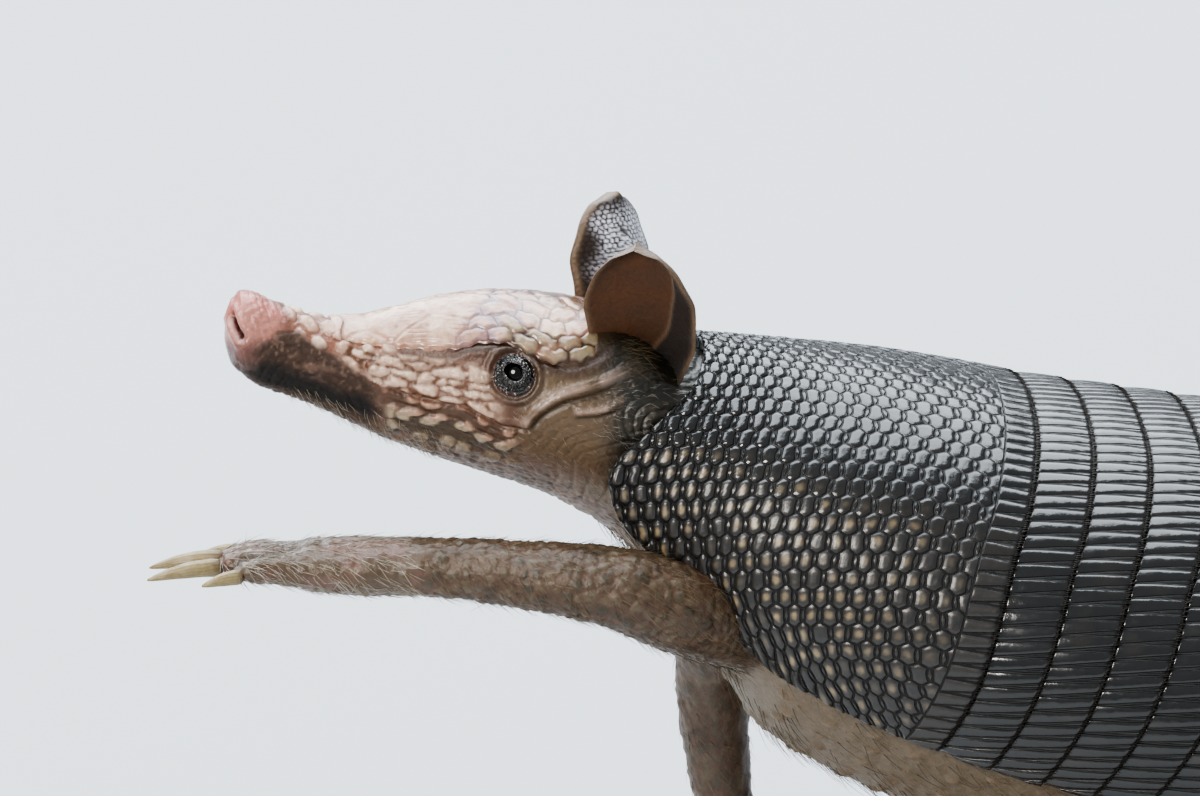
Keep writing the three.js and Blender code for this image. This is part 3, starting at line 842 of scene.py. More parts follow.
def paint_snout(s, side, angle):
    """The small scutes over the snout, and the dark velvety patch on its side."""
    x, y, z = s.p.T
    arc = angle * 9.6 * np.sign(y)
    low = np.abs(arc)
    rows_along = curve([-111, -107, -103.4, -99.4, -93.8, -88.4, -78], [-1, 0, 1, 2, 3, 4, 6])
    across = np.sign(arc) * curve([0, 5.5, 10, 16], [0, 3.4, 7.2, 14])(low)
    top = smooth(-104, -100.5, x + 1.2 * cloud(s.p, 2.5, 26)) * (1 - smooth(-79, -74, x))
    top *= 1 - smooth(12, 15, low)
    along = rows_along(x) + 0.12 * np.cos(1.4 * angle) + 0.10 * cloud(s.p, 4, 22)
    d, rim, own = scutes(along * 4.6, across, 4.6, 3.9, 0.34, 21)
    small = 0.16 * smooth(4.5, 8, low) + 0.1 * own
    scute = smooth(0.15, 0.7, rim + 0.2 * cloud(s.p, 1.0, 23))
    scute *= smooth(0.60, 0.44, d + small + 0.05 * cloud(s.p, 1.4, 25))
    s.tone(CREAM_SEAM, top)
    s.tone(mix(CREAM, CREAM_WARM, own * 0.8), top * scute)
    s.raised(0.8 * scute * smooth(0, 1.2, rim) + 0.12 * cloud(s.p, 1.2, 24) - 0.35, top)
    s.wet(0.2, top)
    below, _ = from_line(x, z, PATCH_LINE)
    deep, _ = from_line(x, z, CORE_LINE)
    soft = 1 + 1.4 * (1 - smooth(-108, -103, x))
    patch = smooth(0.8, -1.4, below / soft + 0.8 * cloud(s.p, 2.4, 8)) * side * smooth(-113, -109.5, x)
    s.tone(PATCH_PALE, patch)
    speckle = smooth(0.1, 0.6, cloud(s.p, 0.65, 12)) * smooth(-0.6, 0.3, cloud(s.p, 4, 15))
    s.tone(PATCH_SPECK, 0.42 * speckle * patch)
    streaked = smooth(0.1, 0.9, cloud(s.p * (0.5, 1, 1), 2.2, 16))
    s.tone(PATCH_SPECK, 0.35 * patch * streaked * smooth(-3, 0, deep))
    s.tone(PATCH, 0.95 * patch * smooth(1.8, -1.8, deep + 1.4 * cloud(s.p, 5, 9)))
    s.height *= 1 - patch
    s.raised(0.14 * cloud(s.p, 0.8, 13) - 0.26 * wrinkled(below, 2.4, s.p, 14), patch)
    s.wet(0.7, patch)
    lip, share = from_line(x, z, MOUTH_LINE)
    open_lip = side * (1 - smooth(0.85, 1, share))
    s.raised(-0.9 * hump(lip, 0.42) + 0.35 * hump(lip - 1.1, 0.8), open_lip)
    s.raised(-0.6 * smooth(0.2, -1.2, lip) * (1 - smooth(-82, -76, x)), side)
    # The dark line in the lip's groove is painted shade.
    s.tone(PATCH * 0.5, 0.9 * hump(lip, 0.5) * open_lip)


def paint_cheek(s, side):
    """Rows of long cream scutes under the head shield, and rows of beads under them."""
    x, y, z = s.p.T
    other = 37.0 * (y > 0)
    flow = curve([-92, -80, -70, -60, -50, -40], [-6.4, -7.6, -7.2, -6.4, -8.0, -9.0])
    under = flow(x) - z
    seam, _ = from_line(x, z, CHEEK_LINE)
    patch, _ = from_line(x, z, PATCH_LINE)
    upper = side * smooth(-0.3, 0.6, seam) * smooth(-1, 0.5, under) * smooth(-1, 1, patch)
    upper *= smooth(-91, -87, x) * (1 - smooth(-54, -48, x))
    ragged = 1.5 * cloud(s.p, 3.2, 31) + 0.5 * cloud(s.p, 1.3, 35)
    d, rim, own = scutes(x + other + ragged, under + 0.8 * cloud(s.p, 3.4, 32), 6.4, 2.9, 0.8, 33)
    scute = smooth(0.0, 0.5, rim + 0.3 * cloud(s.p, 1.1, 36)) * smooth(0.02, 0.3, own + 0.15)
    full = smooth(-88, -74, x + 2 * cloud(s.p, 5, 38))
    scute *= smooth(0.58 + 0.2 * full, 0.42 + 0.1 * full, d + 0.12 * own + 0.08 * cloud(s.p, 1.3, 37))
    s.tone(mix(CHEEK_SCUTE, CREAM, 0.8 * own), upper)
    s.tone(CHEEK_SEAM * 1.25, upper * (1 - 0.95 * scute))
    s.raised(0.75 * smooth(0, 1.0, rim) * scute - 0.25 + 0.2 * cloud(s.p, 1.0, 34), upper)
    s.wet(0.2, upper * scute)
    lower = side * smooth(0.2, -0.6, seam) * smooth(-80, -74, x) * (1 - smooth(-47, -41, x))
    lower = lower * smooth(-34, -29, z) * smooth(-1.5, 1.0, patch)
    low_row = smooth(-3.6, -5.2, seam)
    u = x + other + 2.2 * low_row + 0.7 * cloud(s.p, 4, 44)
    d, _, own = scutes(u, -seam + 2.3 + 0.4 * cloud(s.p, 3, 45), 6.0, 4.9, 0.3, 41)
    bead = 1 - smooth(0.24, 0.44, d * (0.85 + 0.35 * own) + 0.06 * cloud(s.p, 1.2, 46))
    s.tone(UNDER_BEAD, (0.45 + 0.45 * low_row) * lower)
    s.tone(mix(CREAM_WARM, BEAD, low_row), lower * bead * (0.9 - 0.5 * smooth(-22, -30, z)))
    creases = 0.3 * wrinkled(-seam + 1.3, 2.45, s.p, 43)
    s.raised(0.7 * bead + 0.14 * cloud(s.p, 1.1, 42) - creases, lower)
    s.wet(0.22, lower * bead)
    s.raised(-0.75 * hump(seam, 0.55) + 0.45 * hump(seam - 1.5, 1.1), side * smooth(-80, -74, x))
    # The dark line along the crease under the cheek scutes is painted shade.
    s.tone(CHEEK_SEAM, 0.8 * side * hump(seam + 0.2, 0.7) * smooth(-80, -74, x))


def paint_folds(s, side):
    """The brow's crease, the eyelids and the glossy folds from the cheek to the ear."""
    x, y, z = s.p.T
    d, share = from_line(x, z, BROW_LINE)
    here = side * smooth(0, 0.06, share) * (1 - smooth(0.94, 1, share))
    over_eye = 0.25 + 0.75 * smooth(-66, -58, x)
    s.raised(-0.5 * hump(d, 0.6) + 0.4 * hump(d + 1.9, 1.1), here * over_eye)
    # The brown band in the crease under the brow line is painted shade.
    s.tone(BROW_BROWN_AND_PAINTED_SHADE, 0.9 * hump(d + 0.9, 1.5) * here * over_eye)
    for line, wide, tall in ((FOLD_LINE, 1.5, 1.35), (FOLD_LINE_2, 1.0, 0.8)):
        d, share = from_line(x, z, line)
        here = side * smooth(0, 0.12, share) * (1 - smooth(0.72, 1, share))
        # The dark band in the dip under each fold is painted shade.
        s.tone(AMBER * 0.45, 0.85 * hump(d + 1.5 * wide, 0.55 * wide) * here)
        s.raised(tall * hump(d, wide) - 0.5 * tall * hump(d + 1.6 * wide, 0.5 * wide), here)
        s.raised(-0.28 * hump(d - 0.3 - 0.3 * cloud(s.p, 6, 51), 0.3), here)
        s.tone(FOLD, 0.7 * hump(d - 0.2, wide * 0.8) * here * smooth(-0.9, 0.3, cloud(s.p, 3, 53)))
        s.wet(0.16, hump(d, wide * 1.3) * here)
    from_eye = np.hypot(x - LID_RING[0], z - LID_RING[2])
    here = smooth(6, 9, np.abs(y))
    dark = from_eye - 4.3 + 0.6 * cloud(s.p, 1.6, 52)
    s.height = s.height * (1 - here * (1 - smooth(4.1, 6.9, from_eye)))
    rings = -0.5 * hump(from_eye - 5.0, 0.6) + 0.35 * hump(from_eye - 6.1, 0.8)
    s.raised(rings - 0.2 * hump(from_eye - 7.3, 0.5), here)
    # The darker brown round each eye, out to about 9 mm, is a painted shadow.
    s.tone(BROW_BROWN_AND_PAINTED_SHADE, 0.64 * here * (1 - smooth(0.6, 5.0, dark)))
    s.tone(LID, (1 - smooth(-0.2, 1.0, dark)) * here)
    s.wet(0.2, here * (1 - smooth(0, 1.5, dark)))


def paint_neck(s, side, angle):
    x, _, z = s.p.T
    rear = smooth(-50, -42, x) * side
    amber_zone = rear * smooth(-32, -24, z)
    fold, _ = from_line(x, z, FOLD_LINE)
    s.tone(AMBER, amber_zone)
    s.raised(-0.12 * wrinkled(fold, 2.6, s.p, 61), amber_zone * smooth(-2.5, -6, fold))
    along = x - shield_front(np.degrees(angle))
    dark = smooth(-31, -21, x + 0.10 * (z + 8) + 2.5 * cloud(s.p, 7, 62))
    dark *= smooth(-42, -26, z)
    s.tone(NECK, dark)
    s.tone(NECK_PALE, 0.55 * dark * smooth(-0.2, 0.7, cloud(s.p, 4, 63)) * smooth(0, -20, z))
    fold_rows = wrinkled(along + 0.25 * fold, 2.3, s.p, 64)
    s.raised(-0.35 * fold_rows + 0.12 * cloud(s.p, 1.0, 65), dark * smooth(-30, -22, x))
    s.wet(0.3, dark)
    low = smooth(-24, -36, z) * smooth(-44, -30, x)
    s.tone(CHEST, low)
    s.raised(-0.3 * wrinkled(along, 4.2, s.p, 66), low)
    collar = from_segment(s.p, EAR_ROOT)
    s.raised(2.6 * hump(collar, 7.5))
    s.tone(NECK, hump(collar, 10) * 0.9)


def paint_throat(s, angle):
    x = s.p[:, 0]
    under = smooth(2.15, 2.45, angle) * smooth(-112, -108, x)
    rim, own = pebbles(s.p, 2.1, 71)
    s.tone(mix(THROAT, CREAM_WARM * 0.7, 0.35 * own), under * smooth(-106, -98, x))
    s.tone(PATCH_PALE, 0.8 * under * (1 - smooth(-86, -74, x)))
    s.raised(0.28 * smooth(0, 0.5, rim) - 0.12, under * smooth(-106, -98, x))


def paint_head(p, angle):
    s = Surface(p, CHEEK_SEAM, 0.36)
    side = smooth(0.34, 0.62, np.abs(p[:, 1]) / flesh(p[:, 0])[2])
    paint_nose(s)
    paint_snout(s, side, angle)
    paint_cheek(s, side)
    paint_neck(s, side, angle)
    paint_throat(s, angle)
    paint_folds(s, side)
    s.raised(0.05 * cloud(p, 0.8, 75))
    x, degrees = p[:, 0], np.degrees(angle)
    plated = smooth(HEAD_SHIELD_X[0] + 1, HEAD_SHIELD_X[0] + 3, x) * (1 - smooth(-31, -29, x))
    plated *= 1 - smooth(-6, -2, degrees - BROW_ANGLE(x))
    s.height = s.height * (1 - plated) - 0.15 * plated
    return s


def between_toes(p):
    """The distance to the middle of the gap between two toes, to the nearest toe's line, and along it
    from the claw's root."""
    near = Nearest(len(p))
    for name in CLAWS:
        root, tip, _ = claw_line(name)
        end, side = name.split("_")[1:3]
        ways = [root - tip, to_body(np.mean(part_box(f"{end}foot_{side}"), axis=0)) - root]
        way = sum(unit(v) for v in ways)
        way *= TOE_LONG / np.linalg.norm(way)
        share = (p - root) @ way / TOE_LONG**2
        far = np.linalg.norm(p - root - np.clip(share, -0.4, 1)[:, None] * way, axis=1)
        near.show(far, share * TOE_LONG)
    return (near.second - near.first) / 2, near.first, near.own[0]


def paint_limbs(p):
    s = Surface(p, ARM, 0.42)
    foot = np.max([inside_box(p, name, 10) for name in FEET], axis=0)
    rim, own = pebbles(p, 2.9, 81)
    s.tone(mix(ARM * 0.8, CHEST * 0.9, own), 0.8)
    s.tone(CHEEK_SEAM * 0.8, 0.6 * (1 - smooth(0.1, 0.5, rim)))
    s.raised(0.38 * smooth(0, 0.7, rim) - 0.15, 1 - 0.5 * foot)
    s.tone(mix(FOOT, FOOT_PINK, smooth(-0.3, 0.6, cloud(p, 5, 82))), foot * 0.85)
    s.raised(0.12 * cloud(p, 1.1, 83) + 0.3 * cloud(p, 6, 84))
    s.wet(0.28, foot)
    gap, far, along = between_toes(p)
    toe = 1 - smooth(6.5, 9, far)
    s.raised(-1.1 * hump(gap, 0.75), toe)
    # The dark between the toes is painted shade.
    s.tone(ARM * 0.5, 0.7 * toe * hump(gap, 0.8))
    s.raised(-0.25 * wrinkled(along, 2.4, p, 85), toe)
    return s


def paint_belly(p):
    s = Surface(p, BELLY, 0.5)
    around = np.arctan2(p[:, 1], -(p[:, 2] + 55)) * 60
    d, _, _ = scutes(around, p[:, 0], 8.5, 10, 0.3, 91)
    wart = 1 - smooth(0.10, 0.2, d)
    s.raised(0.7 * wart + 0.25 * cloud(p, 9, 92) - 0.3 * wrinkled(p[:, 0], 5, p, 93))
    s.tone(CHEST * 1.15, wart * 0.7)
    s.tone(AMBER, 0.35 * smooth(-0.2, 0.8, cloud(p, 25, 94)))
    rump = smooth(232, 258, p[:, 0] + 5 * cloud(p, 12, 96))
    rim, own = pebbles(p, 5, 95)
    s.tone(mix(NECK_PALE * 0.8, CHEST * 0.9, own), 0.85 * rump)
    s.tone(NECK, 0.7 * rump * (1 - smooth(0.3, 1.3, rim)))
    s.raised(0.6 * smooth(0, 1.6, rim) - 0.3, rump)
    return s


def open_eyes(p):
    """The skin inside each eye's opening goes back under the eyelids."""
    from_eye = np.hypot(p[:, 0] - LID_RING[0], p[:, 2] - LID_RING[2])
    here = (np.abs(p[:, 1]) > 8) & (from_eye < 7)
    ball = EYE[1] + np.sqrt(np.maximum(EYE_R**2 - np.minimum(from_eye, EYE_R) ** 2, 0))
    y = np.abs(p[:, 1])
    sunk = y + (np.minimum(y, ball) - 2.4 - y) * (1 - smooth(3.2, 4.2, from_eye))
    return np.stack([p[:, 0], np.where(here, np.sign(p[:, 1]) * sunk, p[:, 1]), p[:, 2]], 1)


def flesh_side(x, z):
    """How far the flesh reaches to the side at a place on the side of the head."""
    top, bottom, half, mid = HEAD(x)
    up = np.clip((z - mid) / np.where(z > mid, top - mid, mid - bottom), -1, 1)
    return half * (1 - np.abs(up) ** BODY_POWER) ** (1 / BODY_POWER)


def eyelids():
    """A ring of dark beaded lid over each eyeball, from the opening to under the skin round it."""
    rows, columns = 64, 260
    share, turn = np.linspace(0, 1, rows)[:, None], turns(columns)[None, :]
    opening = 2.0 + 0.5 * np.exp(-((np.cos((turn - 2.7) / 2) ** 2 - 1) ** 2) / 0.02)
    radius = opening + (LID_R - opening) * share
    middle = LID_RING * share[..., None] + (EYE + EYE_LOOK) * (1 - share[..., None])
    x, z = middle[..., 0] + radius * np.cos(turn), middle[..., 2] + radius * np.sin(turn)
    from_eye = np.hypot(x - EYE[0], z - EYE[2])
    ball = EYE[1] + np.sqrt(np.maximum((EYE_R + 0.5) ** 2 - from_eye**2, 0))
    over = flesh_side(x, z) - 0.9 * smooth(4.5, LID_R, radius)
    y = ball + (over - ball) * smooth(2.5, 4.7, radius)
    r, t, inward = (v.reshape(-1) for v in np.broadcast_arrays(radius, turn, share))
    for name, side in SIDES:
        points = np.stack([x, side * y, z], -1)
        s = Surface(points.reshape(-1, 3), LID, 0.18)
        d, _, own = scutes(t * 3.6, r + 0.15 * cloud(s.p, 1.1, 201), 0.754, 0.6, 0.5, 202)
        bead = 1 - smooth(0.1, 0.55, d)
        s.raised(0.4 * bead * (0.3 + own) * smooth(0, 0.05, inward))
        uneven = 0.6 + 0.6 * cloud(s.p, 2.0, 204)
        folds = 0.2 * hump(r - 3.9, 0.35) - 0.14 * hump(r - 3.2, 0.3)
        s.raised(0.16 * hump(r - 2.4, 0.22) + uneven * folds)
        s.tone(LID_BEAD, 0.6 * bead * own)
        s.tone(CREAM_SEAM * 0.5, 0.75 * smooth(4.1, 4.8, r + 0.5 * cloud(s.p, 1.5, 203)))
        out = np.stack(np.broadcast_arrays(0.45 * np.cos(turn), side, 0.45 * np.sin(turn)), -1)
        points = points + out * s.height.reshape(rows, columns, 1)
        lip = points[:1] - (0, side * 0.35, 0)
        deep = points[:1] * (1, 0, 1) + (0, side * (EYE[1] + 3.6), 0)
        points = np.concatenate([deep, lip, points])
        pick = np.concatenate([np.tile(np.arange(columns), 2), np.arange(rows * columns)])
        mesh = grid_mesh(f"eyelid_{name}", points, s, pick, np.array([0, side, 0]), closed=True)
        piece(f"eyelid_{name}", mesh, LID_LOOK, "skin")


def skin():
    mesh = plain_skin()
    p = to_body(points_of(mesh))
    angle, _, outside = out_of_flesh(p)
    limb = smooth(0.6, 3.0, outside)
    head = (p[:, 0] < 16) & (outside < 3.2)
    trunk = (p[:, 0] > -2) & (outside < 3.2)
    arms = outside > 0.5
    height, gloss = np.zeros(len(p)), np.zeros(len(p))
    colour = np.zeros((len(p), 3))
    front = 1 - smooth(0, 14, p[:, 0])
    for chosen, share, made in (
        (head, (1 - limb) * front, paint_head(p[head], angle[head])),
        (trunk, (1 - limb) * (1 - front), paint_belly(p[trunk])),
        (arms, limb, paint_limbs(p[arms])),
    ):
        share = share[chosen]
        height[chosen] += made.height * share
        gloss[chosen] += made.gloss * share
        colour[chosen] += made.colour * share[:, None]
    p = p + (normals_of(mesh) @ TURN) * height[:, None]
    p = open_eyes(p)
    put_points(mesh, to_part(p))
    paint(mesh, colour, gloss)
    piece("skin", mesh, SKIN_LOOK, "skin", "head", "neck", "trunk", *LIMBS)
    skin_hairs(p, normals_of(mesh) @ TURN)


def eyes():
    """Black eyeballs, with a faint step where the clear front meets the ball."""
    look = Nodes("eye")
    look.fill(look.shader, {"Base Color": (0.006, 0.005, 0.004, 1), "Roughness": 0.03})
    rows, columns = 60, 64
    from_axis = (np.linspace(0, 1, rows) ** 1.5 * (math.pi - 0.004) + 0.002)[:, None]
    turn = turns(columns)[None, :]
    radius = EYE_R - 0.05 - 0.22 * smooth(0.30, 0.38, from_axis)
    wide = radius * np.sin(from_axis)
    ways = wide * np.cos(turn), wide * np.sin(turn), radius * np.cos(from_axis) + 0 * turn
    for name, side in SIDES:
        axis = unit(EYE_LOOK + (0, side * math.sqrt(EYE_R**2 - EYE_LOOK @ EYE_LOOK), 0))
        first = unit(np.cross(axis, (0, 0, 1)))
        axes = first, np.cross(axis, first), axis
        points = sum(way[..., None] * vector for way, vector in zip(ways, axes))
        places = points.reshape(-1, 3) + EYE * (1, side, 1)
        mesh = mesh_from(f"eye_{name}", places, grid_faces(rows, columns, closed=True))
        face_out(mesh, points)
        piece(f"eye_{name}_ball", mesh, look.material, "eye", f"eye_{name}")


# ---------------------------------------------------------------- horny plates
SHELL_BLACK, SHELL_BROWN, SHELL_SPOT = srgb("1a1916"), srgb("2e2820"), srgb("a38f6c")
PLATE_CREAM, PLATE_WARM, PLATE_SEAM = srgb("cdaf98"), srgb("a0735e"), srgb("583b2c")
# The first of these browns also paints shadow round the low scutes of the crown.
PLATE_BROWN_AND_SHADOW, PLATE_RED, PLATE_AMBER = srgb("5a4535"), srgb("8a4636"), srgb("b98f5c")
LAVENDER, LOW_SCUTE = srgb("7b6c82"), srgb("86795f")
BANDS = 9
BAND_PITCH = 13.4
SHIELD_END = 80  # the shoulder shield's end on the midline
EDGE_ANGLE = 116  # the plates' lower edge, in degrees from the top
GAP = 0.35  # between neighbouring plates

# The plates' edges and the bands' pitch, by the angle from the top.
shield_front = curve([0, 25, 50, 75, 92, 106, EDGE_ANGLE], [0, -4, -15, -24, -20, -2, 20])
shield_rear = curve(
    [0, 20, 35, 47, 60, 90, EDGE_ANGLE],
    SHIELD_END + np.array([0.8, -0.6, -3, -5.5, -9, -14, -20]),
)
band_pitch = curve([0, 35, 60, EDGE_ANGLE], [BAND_PITCH, 14, 14, 12.6])
rump_edge = curve([0, 30, 60, 85, 102, EDGE_ANGLE], [290, 287, 279, 266, 250, 226])


def band_edge(i):
    return lambda a: shield_rear(a) + i * band_pitch(a)


class Sheet:
    """A grid of points over a section profile, with its normals and its arc from the midline."""

    def __init__(self, at, x, angle, lift):
        x, angle = np.broadcast_arrays(x, angle)
        self.shape = x.shape
        self.x, self.angle = x, np.abs(angle)
        self.points = section(at, x, np.radians(angle), lift)
        girth = np.linalg.norm(np.diff(self.points[..., 1:], axis=0), axis=2)
        arc = np.concatenate([np.zeros((1, x.shape[1])), np.cumsum(girth, axis=0)])
        self.arc = arc - arc[len(arc) // 2]
        self.edge = arc[-1] / 2 - np.abs(self.arc)
        around, along = np.gradient(self.points, axis=0), np.gradient(self.points, axis=1)
        self.normals = unit(np.cross(around, along))
        outward = self.points * (0, 1, 1) - (0, 0, 1) * np.reshape(at(x)[3], x.shape)[..., None]
        if np.sum(outward * self.normals) < 0:
            self.normals = -self.normals

    def surface(self, colour, gloss):
        """A surface on its points, which also keeps their places on the sheet."""
        s = Surface(self.points.reshape(-1, 3), colour, gloss)
        s.x, s.arc, s.angle, s.edge = (self.flat(v) for v in (self.x, self.arc, self.angle, self.edge))
        return s

    def flat(self, values):
        return np.broadcast_to(values, self.shape).reshape(-1)

    def mesh(self, name, s, thick, turned=5):
        """The grid moved by its surface's height, with rims that turn down and back under it."""
        rows, columns = self.shape
        points = self.points + self.normals * s.height.reshape(rows, columns, 1)
        depth = thick * np.array([0.3, 0.75, 1.0, 1.05])
        inset = np.array([0, 0, 1, turned])

        def padded(count):
            index = np.concatenate([inset[::-1], np.arange(count), count - 1 - inset])
            down = np.concatenate([depth[::-1], np.zeros(count), depth])
            return index, down

        (r, down_r), (c, down_c) = padded(rows), padded(columns)
        down = np.maximum(down_r[:, None], down_c[None, :])
        points = points[r][:, c] - self.normals[r][:, c] * down[..., None]
        pick = (r[:, None] * columns + c[None, :]).reshape(-1)
        made = grid_mesh(name, points, s, pick, self.normals[r][:, c])
        if s.strip is not None:
            for kind, values in (("rosette", s.rosette), ("strip", s.strip)):
                put = np.ascontiguousarray(values[pick], np.float32).ravel()
                made.attributes.new(kind, "FLOAT_VECTOR", "POINT").data.foreach_set("vector", put)
        return made


def long_scutes(s, arc, reach, share, tall=0.34):
    """Long scutes side by side that end at a plate's rear edge. Two grooves between neighbours run
    together towards the front."""
    along = arc / TILE
    f = along - np.floor(along) - 0.5
    narrow = 0.15 * (1 - smooth(0, reach, s.behind))
    groove = hump((np.abs(f) - 0.5 + narrow) * TILE, 0.4)
    s.raised(tall * (0.35 - groove) + 0.17 * tall * np.cos(2 * math.pi * f), share)
    s.strip = np.stack([along, narrow, np.full(len(arc), 9.0)], 1)


def rosettes(s, u, v, share, dome):
    """Large scutes in rows with little ones between them: the distance from their centres, as 1 for
    a large scute's own radius, and a value of each one's own."""
    a, b = u / ROSETTE_PITCH, v / ROSETTE_ROW
    near = Nearest(len(u), values=2)
    for shift, row, less in ROSETTE_CENTRES:
        column, line = np.round(a - shift), 2 * np.round((b - row) / 2) + row
        d = np.hypot((a - shift - column) * ROSETTE_PITCH, (b - line) * ROSETTE_ROW) + less
        near.show(d, chance(column, line, less), less == 0)
    rim = (near.second - near.first) / 2
    own, large = near.own
    s.raised(dome * (smooth(0, 0.8, rim) - 0.5) + 0.12 * (own - 0.5), share)
    s.rosette = np.stack([a, b, 1 - share], 1)
    return np.where(large, near.first / 1.9, 9), own


def worn_edges(s, ahead):
    """The plate's borders round down, and its rear border is dark and thin."""
    near = np.minimum(np.minimum(ahead, s.edge), s.behind)
    s.raised(-0.5 * (1 - smooth(0, 1.1, near)))
    s.tone(SHELL_BROWN * 0.5, 1 - smooth(0.9, 1.5, s.behind))


def shell_sheet(front, rear, gap, rows, share, gloss, lift=0):
    """A sheet of the carapace between two edges that are functions of the angle from the top, and
    its surface, which keeps each point's places: along the body, round it, and from its edges."""
    angle = np.linspace(-EDGE_ANGLE, EDGE_ANGLE, rows)[:, None]
    front, rear = front(np.abs(angle)), rear(np.abs(angle)) - gap
    sheet = Sheet(SHELL, front + (rear - front) * share, angle, lift)
    s = sheet.surface(SHELL_BLACK, gloss)
    s.front = sheet.flat(front)
    s.ahead, s.behind = s.x - s.front, sheet.flat(rear) - s.x
    return sheet, s


def shoulder_shield():
    sheet, s = shell_sheet(shield_front, shield_rear, GAP, 415, np.linspace(0, 1, 180), 0.17)
    crowded = curve([-60, 0, 16, 40, 70, 130], [-85, 0, 23, 53, 85, 145])
    margin = 1 - smooth(7.8, 8.3, s.behind)
    dome = 0.24 + 0.5 * (1 - smooth(5, 36, s.ahead)) + 0.2 * smooth(40, 60, s.angle)
    u = crowded(s.x - 0.3 * s.front) + 0.6 * cloud(s.p, 3.6, 106) + 0.8 * cloud(s.p, 12, 107)
    v = s.arc + 0.5 * cloud(s.p, 14, 101) + 0.5 * cloud(s.p, 3.2, 108)
    d, own = rosettes(s, u, v, 1 - margin, dome)
    long_scutes(s, s.arc, 8, margin)
    s.strip[:, 2] = s.behind - 8.1
    low = smooth(50, 62, s.angle + 6 * cloud(s.p, 14, 109)) * (1 - 0.8 * smooth(20, 66, s.x))
    spot = (1 - smooth(0.22, 0.75, d + 0.2 * cloud(s.p, 1.0, 103))) * (1 - margin)
    s.tone(SHELL_BROWN, 0.6 * smooth(44, 56, s.angle) * (1 - spot))
    uneven = 0.75 + 0.25 * cloud(s.p, 0.9, 104)
    s.tone(SHELL_SPOT, 0.85 * spot * low * smooth(0.2, 0.6, own) * uneven)
    s.wet(0.36, smooth(50, 66, s.angle))
    worn_edges(s, s.ahead)
    s.raised(0.04 * cloud(s.p, 1.3, 105))
    mesh = sheet.mesh("shoulder_shield_scutes", s, SHELL_T)
    piece("shoulder_shield_scutes", mesh, SHELL_LOOK, "carapace", "shoulder_shield")


def band(i):
    share = np.linspace(0, 1, 28) ** 0.9
    lift = 1.1 * (share - 1)  # its front edge slips under the plate ahead
    sheet, s = shell_sheet(band_edge(i), band_edge(i + 1), GAP, 560, share, 0.15, lift)
    long_scutes(s, s.arc + 1.1 * i, BAND_PITCH, 1.0, 0.26)
    s.raised(0.35 * np.sin(math.pi * np.clip(s.behind / BAND_PITCH, 0, 1)))
    s.tone(SHELL_BROWN, 0.5 * smooth(0.1, 0.7, cloud(s.p, 6, 111)))
    s.wet(0.3, 0.7 * smooth(0.2, 0.7, cloud(s.p, 7, 112)))
    worn_edges(s, s.behind + 9)
    s.raised(0.05 * cloud(s.p, 1.6, 113))
    name = f"band_{i + 1}"
    mesh = sheet.mesh(f"{name}_scutes", s, SHELL_T - 1)
    piece(f"{name}_scutes", mesh, SHELL_LOOK, "carapace", name)


def pelvic_shield():
    sheet, s = shell_sheet(band_edge(BANDS), rump_edge, 0, 380, np.linspace(0, 1, 165), 0.2)
    margin = 1 - smooth(6.5, 7.3, s.behind)
    u = s.ahead + 0.6 * cloud(s.p, 3.6, 122) + 0.8 * cloud(s.p, 12, 123)
    v = s.arc + 0.5 * cloud(s.p, 14, 121) + 0.4 * cloud(s.p, 3.2, 124)
    d, own = rosettes(s, u, v, 1 - margin, 0.4)
    long_scutes(s, s.arc, 7, margin)
    s.strip[:, 2] = s.behind - 6.9
    low = smooth(60, 84, s.angle)
    spot = (1 - smooth(0.45, 0.9, d)) * (1 - margin)
    s.tone(SHELL_SPOT, 0.6 * spot * low * own)
    s.tone(SHELL_BROWN, 0.6 * low * (1 - spot))
    worn_edges(s, s.ahead)
    mesh = sheet.mesh("pelvic_shield_scutes", s, SHELL_T)
    piece("pelvic_shield_scutes", mesh, SHELL_LOOK, "carapace", "pelvic_shield")


def crown_scutes(s, crown):
    """Seamed polygons over the forehead, domed and greyer in the low rows behind the eye. Gives where
    the low rows are, and the seams."""
    rows_in = curve([0, 3.6, 7.3, 12, 17.5, 24, 30], [0, 1, 2, 3, 4, 5, 6])
    u = s.x + 40 * (s.arc > 0) + 0.8 * cloud(s.p, 6, 131)
    v = rows_in(s.edge + 0.5 * cloud(s.p, 5, 132)) * 4.4
    d, rim, own = scutes(u, v, 6.6, 4.4, 0.34, 133)
    low = crown * (1 - smooth(7.0, 7.6, s.edge)) * smooth(-53, -49, s.x)
    corner = low * smooth(0.47, 0.6, d + 0.04 * cloud(s.p, 1.5, 148))
    line = np.maximum(1 - smooth(0.06, 0.26 + 0.3 * low, rim), corner)
    s.tone(mix(PLATE_CREAM, PLATE_WARM, 0.7 * own), 0.7 * crown)
    bluish = 0.75 * crown * (1 - smooth(0.2, 1.9, rim)) * (1 - low)
    s.tone(LAVENDER, bluish * smooth(-0.6, 0.2, cloud(s.p, 9, 141)))
    s.tone(LOW_SCUTE, 0.85 * low * smooth(0.05, 0.7, own + 0.3))
    # The browner ring round each low scute's border is a painted shadow.
    s.tone(PLATE_BROWN_AND_SHADOW * 1.2, 0.75 * low * (1 - smooth(0.2, 1.5, rim)))
    s.tone(PLATE_SEAM, 0.9 * crown * line)
    s.tone(BROW_BROWN_AND_PAINTED_SHADE, 0.85 * low * line)
    dome = 0.26 * smooth(0, 1.1, rim) + 0.16 * low * smooth(0, 1.2, rim) * (1 - corner)
    s.raised(dome, crown)
    return low, line


